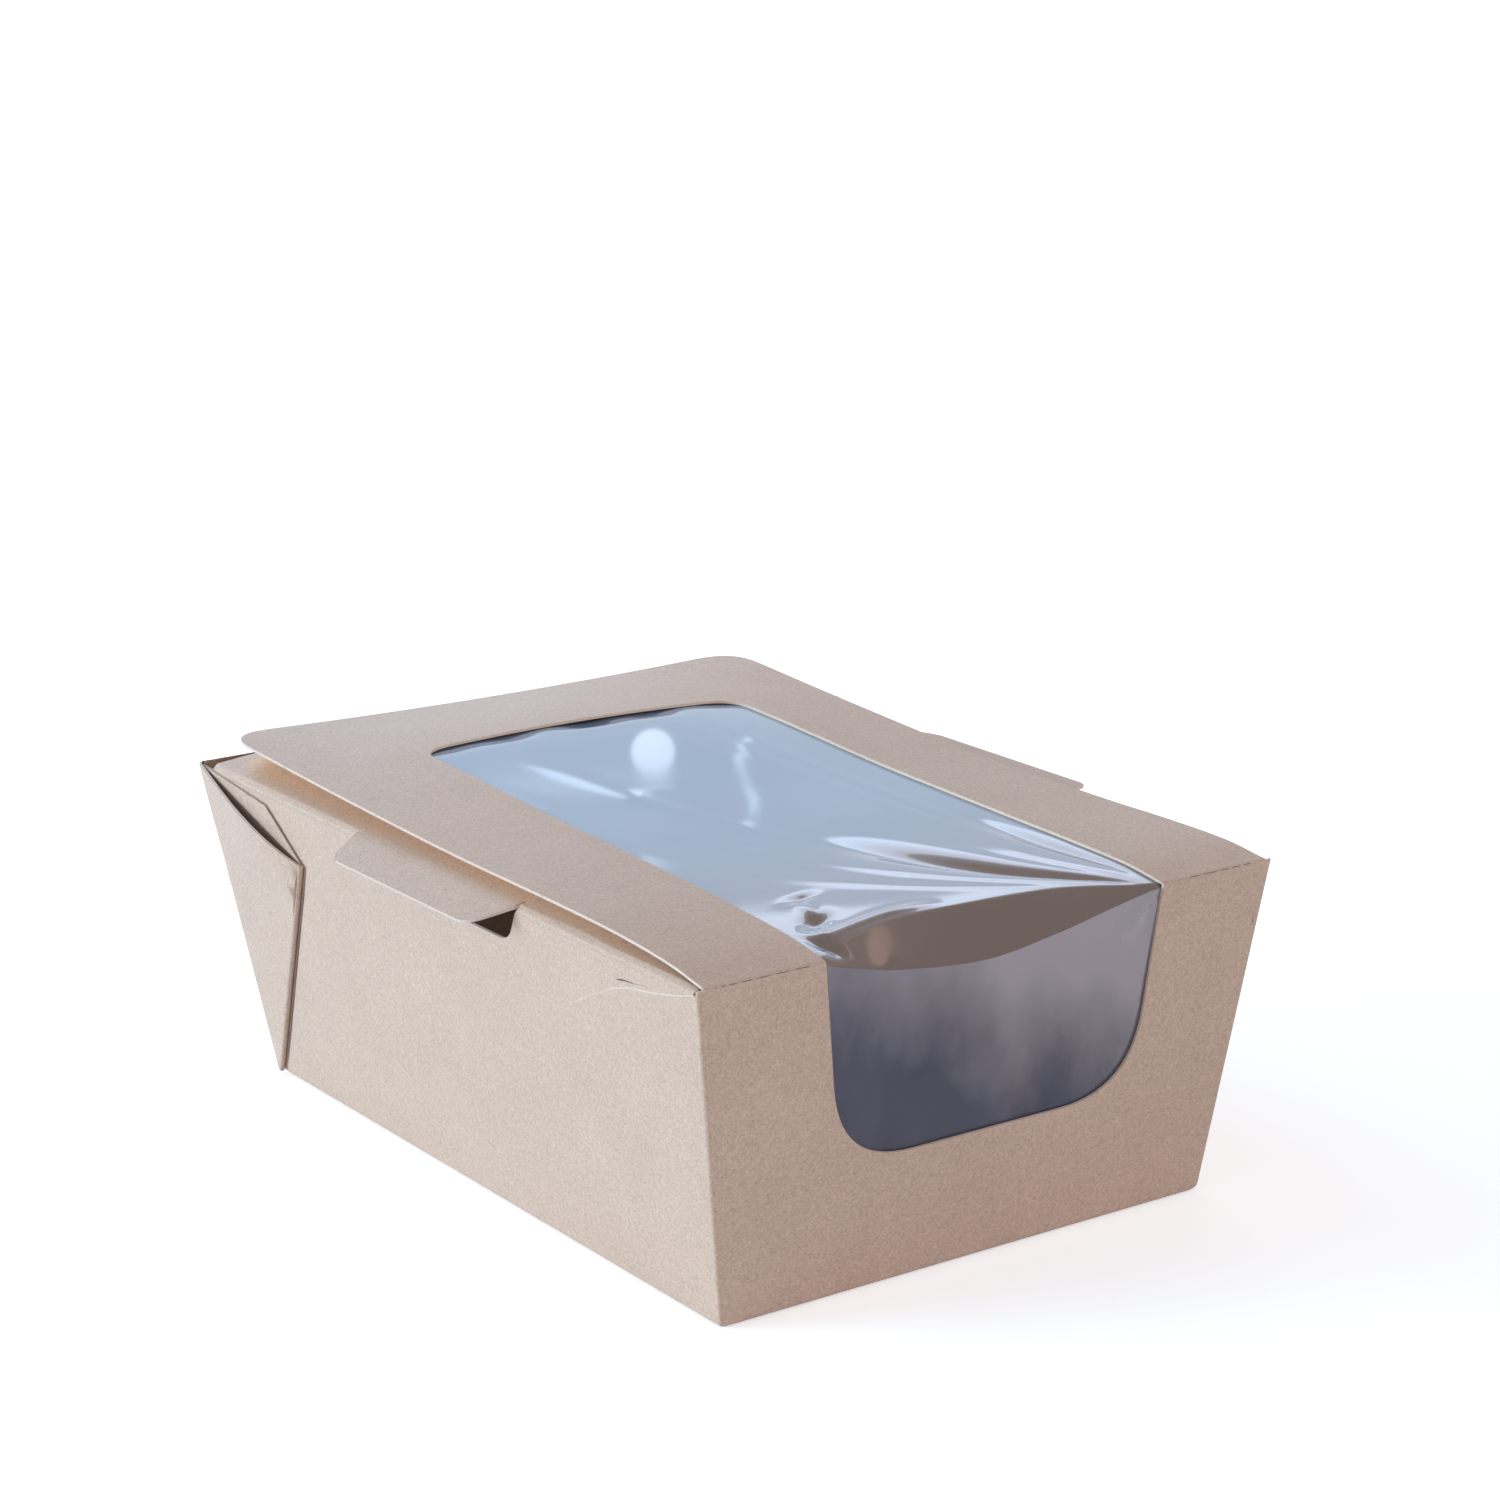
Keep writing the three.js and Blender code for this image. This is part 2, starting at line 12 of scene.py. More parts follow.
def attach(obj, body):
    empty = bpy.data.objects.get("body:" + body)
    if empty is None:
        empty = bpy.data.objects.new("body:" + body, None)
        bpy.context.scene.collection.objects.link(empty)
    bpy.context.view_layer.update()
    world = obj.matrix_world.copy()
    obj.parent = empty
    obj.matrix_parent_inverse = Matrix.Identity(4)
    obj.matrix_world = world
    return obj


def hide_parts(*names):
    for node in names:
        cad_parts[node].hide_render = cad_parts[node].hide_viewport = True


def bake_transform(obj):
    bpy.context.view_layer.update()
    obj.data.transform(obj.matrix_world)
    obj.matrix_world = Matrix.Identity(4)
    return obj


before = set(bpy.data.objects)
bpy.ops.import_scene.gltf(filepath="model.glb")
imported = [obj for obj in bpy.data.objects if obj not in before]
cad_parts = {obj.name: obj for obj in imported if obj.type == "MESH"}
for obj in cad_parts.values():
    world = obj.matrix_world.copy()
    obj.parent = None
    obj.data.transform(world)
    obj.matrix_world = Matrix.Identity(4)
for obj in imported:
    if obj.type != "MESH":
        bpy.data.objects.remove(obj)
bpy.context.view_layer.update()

# A folded kraft paperboard food box. Metres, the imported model's frame: +Z is up, the
# window end faces -Y. The driving sizes repeat the ones the solids were made with.

# Walls
BASE_WIDTH = 0.100
BASE_LENGTH = 0.149
WALL_HEIGHT = 0.0607
SIDE_FLARE = 0.0085
FRONT_FLARE = 0.0078
REAR_FLARE = 0.0102
BOARD = 0.0005
FOLD_RADIUS = 0.001

# Windows and film
LID_SIDE_MARGIN = 0.0226
LID_REAR_MARGIN = 0.0325
LID_WINDOW_RADIUS = 0.0065
SILL_HEIGHT = 0.0235
LEFT_TAPER = 0.0056
RIGHT_TAPER = 0.0026
FRONT_WINDOW_RADIUS = 0.015
FILM = 0.00012
FILM_OVERLAP = 0.005

# Lid: how far its edges lift above the hinge fold at set distances from it
LID_SIDE_SETBACK = 0.0015
LID_REAR_SETBACK = 0.0075
LID_CORNER_RADIUS = 0.009
LEFT_EDGE_LIFT = [(0, 0), (0.010, 0.0017), (0.025, 0.0028), (0.043, 0.0032), (0.078, 0.0035),
                  (0.118, 0.0047), (0.159, 0.0065)]
RIGHT_EDGE_LIFT = [(0, 0), (0.010, 0.0011), (0.025, 0.0013), (0.043, 0.0011), (0.078, 0.0013),
                   (0.118, 0.0031), (0.159, 0.0055)]
CROWN = [(0, 0), (0.022, 0.0003), (0.043, 0.0013), (0.073, 0.0025), (0.123, 0.0031),
         (0.159, -0.001)]

# Flaps and tabs
FLAP_WIDTH = 0.018
FLAP_RISE = math.radians(10)
FLAP_FRONT_RISE = 0.1
FLAP_FRONT_SETBACK = 0.0015
FLAP_REAR_SETBACK = 0.004
FLAP_FRONT_SLANT = 0.017
FLAP_REAR_SLANT = 0.004
LID_REST_GAP = 0.0003
TAB_LENGTH = 0.0073
TAB_WIDTH = 0.054
TAB_CENTRE_Y = -0.003
TAB_TAPER = 0.004
TAB_RADIUS = 0.003
LEFT_TAB_DROOP = math.radians(18)
RIGHT_TAB_DROOP = math.radians(10)
CUT_GAP = 0.00015

# Corner webs
REAR_WEB_REACH = 0.036
REAR_WEB_DROP = 0.012
INNER_LAYER_KINK = 0.025
INNER_LAYER_DROP = 0.003
FRONT_WEB_REACH = 0.040
FRONT_WEB_DROP = 0.013

# The photograph's camera, solved from the box's corners. PHOTO is its side in pixels
PHOTO = 1500
FOCAL_PIXELS = 3698.367
CAMERA_AZIMUTH = math.radians(-34.380)
CAMERA_ELEVATION = math.radians(15.103)
CAMERA_ROLL = math.radians(-0.767)
CAMERA_PLACE = Vector((-0.352024, -0.527508, 0.242232))
SENSOR = 36.0

LEFT, RIGHT = -1, 1
SIDE_NAME = {LEFT: "left", RIGHT: "right"}

# Places worked out from the sizes
base_shift_y = (FRONT_FLARE - REAR_FLARE) / 2
top_half_width = BASE_WIDTH / 2 + SIDE_FLARE
lean = math.atan2(SIDE_FLARE, WALL_HEIGHT)


def wall_x(z):
    return BASE_WIDTH / 2 + SIDE_FLARE * z / WALL_HEIGHT


def front_y(z):
    return base_shift_y - BASE_LENGTH / 2 - FRONT_FLARE * z / WALL_HEIGHT


def rear_y(z):
    return base_shift_y + BASE_LENGTH / 2 + REAR_FLARE * z / WALL_HEIGHT


hinge_y = front_y(WALL_HEIGHT)
rear_top_y = rear_y(WALL_HEIGHT)
lid_half_width = top_half_width - LID_SIDE_SETBACK
lid_rear_y = rear_top_y - LID_REAR_SETBACK
window_half_width = lid_half_width - LID_SIDE_MARGIN
window_rear_y = lid_rear_y - LID_REAR_MARGIN
flap_front_y = hinge_y + FLAP_FRONT_SETBACK
flap_rear_y = rear_top_y - FLAP_REAR_SETBACK


def smooth(low, high, value):
    t = min(max((value - low) / (high - low), 0), 1)
    return t * t * (3 - 2 * t)


def along(stations, distance):
    """A smooth line through (distance, value) stations, straight beyond the last."""
    last = len(stations) - 1

    def slope(i):
        a, b = stations[max(i - 1, 0)], stations[min(i + 1, last)]
        return (b[1] - a[1]) / (b[0] - a[0])

    if distance >= stations[last][0]:
        return stations[last][1] + slope(last) * (distance - stations[last][0])
    i = max(next(k for k, s in enumerate(stations) if s[0] > distance) - 1, 0)
    span = stations[i + 1][0] - stations[i][0]
    t = (distance - stations[i][0]) / span
    rise = stations[i + 1][1] - stations[i][1]
    start, end = slope(i) * span, slope(i + 1) * span
    return (stations[i][1] + rise * t * t * (3 - 2 * t)
            + start * t * (1 - t) ** 2 - end * t * t * (1 - t))


def lid_top(x, y):
    distance = max(y - hinge_y, 0)
    share = (x / lid_half_width + 1) / 2
    edges = along(LEFT_EDGE_LIFT, distance) * (1 - share) + along(RIGHT_EDGE_LIFT, distance) * share
    return WALL_HEIGHT + edges + along(CROWN, distance) * (1 - (x / lid_half_width) ** 2)


# Meshes from outlines. Points nearer together than these are left out: along an outline,
# from the outline to the grid, and where patches meet
LEAST_STEP = 0.00012
LEAST_MARGIN = 0.00015
WELD = 2e-6


def rounded(corners, radii, steps=8):
    """A flat outline with its corners rounded, each by its own radius."""
    points = []
    count = len(corners)
    for i, corner in enumerate(corners):
        here = Vector(corner)
        if radii[i] == 0:
            points.append(tuple(here))
            continue
        before = here + (Vector(corners[i - 1]) - here).normalized() * radii[i]
        after = here + (Vector(corners[(i + 1) % count]) - here).normalized() * radii[i]
        for k in range(steps + 1):
            t = k / steps
            point = before * (1 - t) ** 2 + here * 2 * t * (1 - t) + after * t * t
            points.append(tuple(point))
    return points


def stations(*stops):
    """Grid lines from (place, step) stops: steps of that size until the next place."""
    lines = []
    for (start, step), (end, _) in zip(stops, stops[1:]):
        count = max(round((end - start) / step), 1)
        lines += [start + (end - start) * i / count for i in range(count)]
    return lines + [stops[-1][0]]


def crossed(loop, lines_a, lines_b):
    """The loop with a point wherever it crosses a grid line."""
    points = []
    for i, (a0, b0) in enumerate(loop):
        a1, b1 = loop[(i + 1) % len(loop)]
        cuts = {0.0}
        for start, end, lines in ((a0, a1, lines_a), (b0, b1, lines_b)):
            if abs(end - start) < 1e-9:
                continue
            for line in lines:
                t = (line - start) / (end - start)
                if 0 < t < 1:
                    cuts.add(t)
        length = math.hypot(a1 - a0, b1 - b0)
        kept = [0.0]
        for t in sorted(cuts):
            if min(t - kept[-1], 1 - t) * length > LEAST_STEP:
                kept.append(t)
        points += [(a0 + (a1 - a0) * t, b0 + (b1 - b0) * t) for t in kept]
    return points


def inside(points, loops):
    """Which points lie in the outer loop and in no hole."""
    result = np.zeros(len(points), bool)
    for loop in loops:
        ring = np.array(loop)
        nxt = np.roll(ring, -1, axis=0)
        for (ax, ay), (bx, by) in zip(ring, nxt):
            if ay == by:
                continue
            hit = (ay > points[:, 1]) != (by > points[:, 1])
            at = ax + (points[:, 1] - ay) * (bx - ax) / (by - ay)
            result ^= hit & (points[:, 0] < at)
    return result


def fill(bm, loops, grid, place, facing=1):
    """Fills flat loops with triangles on their points and a grid's, put in place in the mesh."""
    edges = []
    start = 0
    for loop in loops:
        count = len(loop)
        edges += [(start + i, start + (i + 1) % count) for i in range(count)]
        start += count
    flat = [Vector(p) for p in [*sum(loops, []), *grid]]
    points, _, faces, _, _, _ = delaunay_2d_cdt(flat, edges, [], 0, 1e-7)
    points = np.array([tuple(p) for p in points])
    middles = np.array([points[list(f)].mean(axis=0) for f in faces])
    kept = inside(middles, loops)
    verts = {}
    for face, keep in zip(faces, kept):
        if not keep:
            continue
        for i in face:
            if i not in verts:
                verts[i] = bm.verts.new(place(*points[i]))
        a, b, c = (points[i] for i in face)
        turn = (b[0] - a[0]) * (c[1] - a[1]) - (b[1] - a[1]) * (c[0] - a[0])
        if abs(turn) < 1e-13:
            continue
        order = face if turn * facing > 0 else face[::-1]
        bm.faces.new([verts[i] for i in order])


def patch(bm, loops, lines_a, lines_b, place):
    """Fills flat loops with triangles on a grid; the loops keep to it where they cross it."""
    loops = [crossed(loop, lines_a, lines_b) for loop in loops]
    edge_points = np.array(sum(loops, []))
    grid = np.array([(a, b) for a in lines_a for b in lines_b])
    grid = grid[inside(grid, loops)]
    near = np.array([np.min(np.abs(edge_points - g).max(axis=1)) for g in grid])
    fill(bm, loops, grid[near > LEAST_MARGIN], place)


def thicken(bm, depth):
    """Welds the patches and gives them the board's thickness, with a cut edge all round."""
    bmesh.ops.remove_doubles(bm, verts=bm.verts, dist=WELD)
    bm.normal_update()
    outer = list(bm.faces)
    rim = [e for e in bm.edges if len(e.link_faces) == 1]
    under = {}
    for v in list(bm.verts):
        under[v] = bm.verts.new(v.co - v.normal * depth)
    for face in outer:
        face.smooth = True
        back = bm.faces.new([under[v] for v in reversed(face.verts)])
        back.smooth = True
        back.material_index = 1
    for e in rim:
        loop = e.link_loops[0]
        a, b = loop.vert, loop.link_loop_next.vert
        side = bm.faces.new([b, a, under[a], under[b]])
        side.material_index = 2
        side.smooth = True
        for edge in side.edges:
            if edge == e or {under[a], under[b]} == set(edge.verts):
                edge.smooth = False
    bm.normal_update()


def into_scene(name, data):
    obj = bpy.data.objects.new(name, data)
    bpy.context.scene.collection.objects.link(obj)
    return obj


def into_object(name, bm, materials):
    mesh = bpy.data.meshes.new(name)
    bm.to_mesh(mesh)
    bm.free()
    for material in materials:
        mesh.materials.append(material)
    return into_scene(name, mesh)


def sheet(name, loop, lines_a, lines_b, place, depth, materials):
    """A piece of board: a flat loop filled on a grid, put in place and made thick."""
    bm = bmesh.new()
    patch(bm, [loop], lines_a, lines_b, place)
    thicken(bm, depth)
    return into_object(name, bm, materials)


# Materials


def feed(tree, value, socket):
    """Sets a socket to a value, or links another socket to it."""
    if hasattr(value, "links"):
        tree.links.new(value, socket)
    else:
        socket.default_value = value


def add(tree, kind, **values):
    """A node with its sockets fed and its settings set by name."""
    node = tree.nodes.new(kind)
    for key, value in values.items():
        if key in node.inputs:
            feed(tree, value, node.inputs[key])
        else:
            setattr(node, key, value)
    return node


def calc(tree, operation, *values):
    """The result of a Math node on numbers and sockets."""
    node = add(tree, "ShaderNodeMath", operation=operation)
    for value, socket in zip(values, node.inputs):
        feed(tree, value, socket)
    return node.outputs[0]


def new_material(name):
    material = bpy.data.materials.new(name)
    material.use_nodes = True
    return material, material.node_tree


def dress(material, **values):
    """Feeds the sockets of a material's shader; a name's _ stands for a space."""
    tree = material.node_tree
    for key, value in values.items():
        feed(tree, value, tree.nodes["Principled BSDF"].inputs[key.replace("_", " ")])
    return material


def surface_place(tree):
    return add(tree, "ShaderNodeTexCoord").outputs["Object"]


def axis(tree, coords, name):
    return add(tree, "ShaderNodeSeparateXYZ", Vector=coords).outputs[name]


def noise(tree, coords, scale, detail, rough, stretch=None, turn=(0, 0, 0)):
    if stretch:
        mapping = add(tree, "ShaderNodeMapping", Vector=coords, Scale=stretch, Rotation=turn)
        coords = mapping.outputs["Vector"]
    node = add(tree, "ShaderNodeTexNoise", Vector=coords, Scale=scale, Detail=detail, Roughness=rough)
    return node.outputs["Fac"]


def ramp(tree, factor, stops):
    node = add(tree, "ShaderNodeValToRGB", Fac=factor)
    elements = node.color_ramp.elements
    while len(elements) < len(stops):
        elements.new(0.5)
    for element, (position, colour) in zip(elements, stops):
        element.position = position
        element.color = (*colour, 1)
    return node.outputs["Color"]


def mix(tree, kind, factor, a, b):
    node = add(tree, "ShaderNodeMix", data_type="RGBA", blend_type=kind)
    for value, name in ((factor, "Factor"), (a, "A"), (b, "B")):
        feed(tree, value, next(s for s in node.inputs if s.name == name and s.enabled))
    return next(s for s in node.outputs if s.enabled)


def grey(value):
    return (value, value, value)


# How the board's fibres lie: stretch and turn
FIBRE_WAYS = [((1, 5, 5), (0, 0.3, 0.5)), ((5, 1, 5), (0.4, 0, 0.9)), ((5, 5, 1), (0.7, 0.2, 0))]


def kraft(name, colour, contrast=1.8, bounce_share=1.0):
    """Unbleached board: soft mottle, pressed fibres lying every way, and fine flecks. It
    looks warmer where board faces board: a painted warm bounce light, for the light that passes between them."""
    material, tree = new_material(name)
    coords = surface_place(tree)
    cloud = noise(tree, coords, 70, 3, 0.6)
    mottle = noise(tree, coords, 850, 3, 0.65)
    grain = noise(tree, coords, 2300, 2, 0.6)

    def shade(value):
        return grey(1 + value * contrast)

    tone = ramp(tree, cloud, [(0.3, shade(-0.02)), (0.7, shade(0.012))])
    layers = [(mottle, [(0.3, shade(-0.05)), (0.7, shade(0.03))]),
              (grain, [(0.3, shade(-0.10)), (0.7, shade(0.06))])]
    for k, (stretch, turn) in enumerate(FIBRE_WAYS):
        fibre = noise(tree, coords, 900 + 130 * k, 1, 0.5, stretch, turn)
        layers.append((fibre, [(0.25, shade(-0.12)), (0.33, grey(1.0)), (0.68, grey(1.0)),
                               (0.76, shade(0.08))]))
    for factor, stops in layers:
        tone = mix(tree, "MULTIPLY", 1.0, tone, ramp(tree, factor, stops))
    warm = mix(tree, "MIX", cloud, (1.0, 0.985, 0.97, 1), (1.0, 1.0, 1.01, 1))
    tone = mix(tree, "MULTIPLY", 1.0, tone, warm)
    # painted warm bounce light where other board is near, at the top of the walls and above
    bounce_occlusion = add(tree, "ShaderNodeAmbientOcclusion", Distance=PAINTED_BOUNCE_REACH, samples=8)
    painted_bounce = ramp(tree, bounce_occlusion.outputs["AO"], [(0.35, PAINTED_BOUNCE_TINT), (0.90, grey(1.0))])
    bounce_height = ramp(tree, axis(tree, coords, "Z"),
                   [(PAINTED_BOUNCE_LOWEST, grey(0.0)), (PAINTED_BOUNCE_FULL, grey(bounce_share))])
    tone = mix(tree, "MULTIPLY", bounce_height, tone, painted_bounce)
    pressed = add(tree, "ShaderNodeBump", Height=mix(tree, "MIX", 0.5, grain, mottle), Strength=0.3,
                  Distance=0.00003)
    return dress(material, Base_Color=mix(tree, "MULTIPLY", 1.0, tone, (*colour, 1)),
                 Roughness=ramp(tree, mottle, [(0.3, grey(0.60)), (0.7, grey(0.76))]),
                 Specular_IOR_Level=0.4, Sheen_Weight=0.12, Sheen_Roughness=0.5,
                 Sheen_Tint=(0.85, 0.93, 1.0, 1), Normal=pressed.outputs["Normal"])


def facing_away(tree):
    return add(tree, "ShaderNodeLayerWeight", Blend=0.5).outputs["Facing"]


def lid_film_material():
    """Clear film: the brown board shows through it head on, painted into its colour as well,
    and at a low angle it mirrors the studio, its cool blue a painted reflection, greyer towards the hinge."""
    material, tree = new_material("clear_film_lid")
    coords = surface_place(tree)
    facing = facing_away(tree)
    cloud = noise(tree, coords, 25, 2, 0.5)
    # painted reflection: the film's blue stands for the cool studio it mirrors at a low angle
    painted_reflection = ramp(tree, cloud, [(0.3, (0.345, 0.475, 0.640)), (0.7, (0.390, 0.525, 0.690))])
    near_hinge = calc(tree, "MULTIPLY_ADD", axis(tree, coords, "Y"), -22.0, -0.45)
    painted_reflection = mix(tree, "MIX", near_hinge, painted_reflection, (0.405, 0.47, 0.60, 1))
    glass = ramp(tree, facing, [(0.47, grey(0.0)), (0.68, grey(1.0))])
    alpha = ramp(tree, facing, [(0.25, grey(0.42)), (0.47, grey(0.50)), (0.66, grey(0.74)),
                                (0.78, grey(0.82))])
    return dress(material, Base_Color=mix(tree, "MIX", glass, (0.27, 0.205, 0.185, 1), painted_reflection),
                 Metallic=0.6, Roughness=0.07, Alpha=alpha)


def front_film_material():
    """The upright part of the film: see-through, its dark blue colour a painted shade of the box's dim
    inside, paler towards its upper right.
    """
    material, tree = new_material("clear_film_front")
    coords = surface_place(tree)
    rise = calc(tree, "MULTIPLY_ADD", axis(tree, coords, "Z"), 26.0, -0.98)
    slope = calc(tree, "MULTIPLY_ADD", axis(tree, coords, "X"), 12.0, rise)
    blot = noise(tree, coords, 60, 4, 0.6, (1, 1, 0.55))
    upper_right_paler = ramp(tree, calc(tree, "ADD", blot, slope), [(0.30, grey(0.0)), (1.05, grey(1.0))])
    fine = noise(tree, coords, 150, 3, 0.6, (1, 1, 0.4))
    # painted shade: the dim inside of the box seen through the film
    painted_inside_shade = ramp(tree, fine, [(0.35, (0.044, 0.061, 0.114)), (0.70, (0.076, 0.100, 0.164))])
    alpha = ramp(tree, facing_away(tree), [(0.20, grey(0.50)), (0.50, grey(0.62)), (0.80, grey(0.80))])
    return dress(material, Base_Color=mix(tree, "MIX", upper_right_paler, painted_inside_shade, (0.52, 0.46, 0.50, 1)),
                 Metallic=0.35, Roughness=0.10, Alpha=alpha)


# A painted warm bounce light that tints board where other board shuts it in: how near
# that is, and the heights where it sets in and is full
PAINTED_BOUNCE_TINT = (1.60, 1.42, 1.08)
PAINTED_BOUNCE_REACH = 0.016
PAINTED_BOUNCE_LOWEST = WALL_HEIGHT - 0.002
PAINTED_BOUNCE_FULL = WALL_HEIGHT - 0.0005
outside = kraft("kraft_outside", (0.585, 0.41, 0.305))
within = kraft("kraft_inside", (0.46, 0.32, 0.22))
cut_edge = kraft("kraft_cut_edge", (0.68, 0.53, 0.43), contrast=1.0, bounce_share=0.35)
# painted shade: a dark board colour for the shadow along the web fold and the little mark above the scored
# line
painted_shade = kraft("kraft_painted_shade", (0.13, 0.09, 0.075), contrast=1.0)
cut_shadow = kraft("kraft_cut_shadow", (0.20, 0.165, 0.155), contrast=1.0)
# painted shade: a near-black copy of the board's inside, for the deep gape under the rear web's outer layer
gape_shade = kraft("kraft_gape_shade", (0.16, 0.11, 0.09), contrast=1.0)
shaded_edge = kraft("kraft_shaded_edge", (0.37, 0.26, 0.20), contrast=1.0)
kraft_set = (outside, within, cut_edge)
lid_film_look = lid_film_material()
front_film_look = front_film_material()

# Tray shell: one sheet round the four walls, over the folds and out to the flap edges.
# Its grid runs round the box (s) and up the board (b); b is the height on the walls.

CORNER = 0.0007
BOTTOM_FOLD = 0.0015
BOTTOM_EDGE = BOTTOM_FOLD * (1 - math.pi / 2)
FOLD_START = WALL_HEIGHT - 0.003
# The tops of the front wall, and of the long walls beside their flaps
FRONT_TOP = WALL_HEIGHT - 0.0002
WALL_TOP = WALL_HEIGHT - 0.0008
# How much of s each stretch takes, from the middle of the rear wall round to the left
REAR_L, ARC_RL, LEFT_WALL, ARC_FL, FRONT_WALL, ARC_FR, RIGHT_WALL, ARC_RR, REAR_R = range(9)
LONG_SPAN, FRONT_SPAN, ARC_SPAN = 0.165, 0.115, 0.0011
spans = [FRONT_SPAN / 2, ARC_SPAN, LONG_SPAN, ARC_SPAN, FRONT_SPAN, ARC_SPAN, LONG_SPAN, ARC_SPAN,
         FRONT_SPAN / 2]
starts = [0.0]
for span in spans:
    starts.append(starts[-1] + span)
# The quarter turn that each corner's arc starts at
QUARTERS = {ARC_RL: 1, ARC_FL: 2, ARC_FR: 3, ARC_RR: 0}


def ring_point(s, z, inset):
    """A point of the walls' outline at a height, moved in by an inset."""
    index = next((i for i in range(len(spans)) if s < starts[i + 1] - 1e-9), REAR_R)
    t = (s - starts[index]) / spans[index]
    x = wall_x(z) - inset - CORNER
    front = front_y(z) + inset + CORNER
    rear = rear_y(z) - inset - CORNER
    if index in QUARTERS:
        quarter = QUARTERS[index]
        angle = (quarter + t) * math.pi / 2
        cx = x if quarter in (0, 3) else -x
        cy = rear if quarter in (0, 1) else front
        return cx + CORNER * math.cos(angle), cy + CORNER * math.sin(angle)
    if index == REAR_L:
        return -x * t, rear + CORNER
    if index == LEFT_WALL:
        return -x - CORNER, rear + (front - rear) * t
    if index == FRONT_WALL:
        return -x + 2 * x * t, front - CORNER
    if index == RIGHT_WALL:
        return x + CORNER, front + (rear - front) * t
    return x * (1 - t), rear + CORNER


def s_at(wall, y, z):
    """The s of a point on a long wall."""
    front, rear = front_y(z) + CORNER, rear_y(z) - CORNER
    share = (y - front) / (rear - front)
    return starts[wall] + LONG_SPAN * (1 - share if wall == LEFT_WALL else share)


def y_at(wall, s, z):
    """The y of a point on a long wall."""
    front, rear = front_y(z) + CORNER, rear_y(z) - CORNER
    share = (s - starts[wall]) / LONG_SPAN
    if wall == LEFT_WALL:
        share = 1 - share
    return front + (rear - front) * share


def flap_edge_height(side, y):
    """How high the flap's free edge springs: it is held down near the hinge and by the lid."""
    edge_x = side * (top_half_width - FLAP_WIDTH)
    free = WALL_HEIGHT + FLAP_WIDTH * math.tan(FLAP_RISE)
    front = WALL_HEIGHT + max(y - hinge_y, 0) * FLAP_FRONT_RISE
    return min(free, front, lid_top(edge_x, y) - BOARD - LID_REST_GAP)


def flap_facts(side, y):
    """The flap at a y: its rise, angle and turn, its fold's reach and the straight before it."""
    rise = (flap_edge_height(side, y) - WALL_HEIGHT) / FLAP_WIDTH
    angle = math.atan(rise)
    turn = math.pi / 2 + lean - angle
    reach = FOLD_RADIUS * math.tan(turn / 2)
    straight = (WALL_HEIGHT - reach * math.cos(lean) - FOLD_START) / math.cos(lean)
    return rise, angle, turn, reach, straight


def flap_point(side, y, distance):
    """Inward distance and height, that far along the board from the fold's start."""
    rise, angle, turn, reach, straight = flap_facts(side, y)
    if distance <= straight:
        z = FOLD_START + distance * math.cos(lean)
        return (WALL_HEIGHT - z) * math.tan(lean), z
    roll = FOLD_RADIUS * turn
    u0, z0 = reach * math.sin(lean), WALL_HEIGHT - reach * math.cos(lean)
    cu, cz = u0 + FOLD_RADIUS * math.cos(lean), z0 - FOLD_RADIUS * math.sin(lean)
    if distance <= straight + roll:
        a = -lean + (distance - straight) / FOLD_RADIUS
        return cu - FOLD_RADIUS * math.cos(a), cz + FOLD_RADIUS * math.sin(a)
    u = reach + (distance - straight - roll) * math.cos(angle)
    limit = lid_top(side * (top_half_width - u), y) - BOARD - LID_REST_GAP
    return u, min(WALL_HEIGHT + rise * u, limit)


def distance_at(side, y, u):
    """How far along the board a flap point with that inward distance is."""
    _, angle, turn, reach, straight = flap_facts(side, y)
    return straight + FOLD_RADIUS * turn + (u - reach) / math.cos(angle)


def shell_point(s, b):
    """Where the shell's grid point lies: on the bottom fold, a wall, or a flap and its fold."""
    if b < BOTTOM_FOLD:
        angle = min((BOTTOM_FOLD - b) / BOTTOM_FOLD, math.pi / 2)
        z = BOTTOM_FOLD * (1 - math.sin(angle))
        x, y = ring_point(s, z, BOTTOM_FOLD * (1 - math.cos(angle)))
        return x, y, z
    side = None
    if starts[LEFT_WALL] - 1e-6 < s < starts[ARC_FL] + 1e-6:
        side, wall = LEFT, LEFT_WALL
    if starts[RIGHT_WALL] - 1e-6 < s < starts[ARC_RR] + 1e-6:
        side, wall = RIGHT, RIGHT_WALL
    if side is None or b <= FOLD_START:
        x, y = ring_point(s, b, 0)
        return x, y, b
    distance = b - FOLD_START
    y = y_at(wall, s, min(b, WALL_HEIGHT))
    u, z = flap_point(side, y, distance)
    return side * (top_half_width - u), y, z


def window_points():
    half = window_half_width
    corners = [(-half, FRONT_TOP), (-half + LEFT_TAPER, SILL_HEIGHT),
               (half - RIGHT_TAPER, SILL_HEIGHT), (half, FRONT_TOP)]
    return rounded(corners, [0, FRONT_WINDOW_RADIUS, FRONT_WINDOW_RADIUS, 0], 14)


def front_s(x, z):
    """The s of a point on the front wall."""
    edge = wall_x(z) - CORNER
    return starts[FRONT_WALL] + FRONT_SPAN * (x + edge) / (2 * edge)


# Inward distances on the flap: where its ends leave the fold, and the tab's root
FLAP_END_REACH = 0.0012
ROOT_U = 0.0023
ROOT_STEPS = 24
FLAP_RADIUS = 0.004
NOTCH_TOP = WALL_HEIGHT - 0.0004


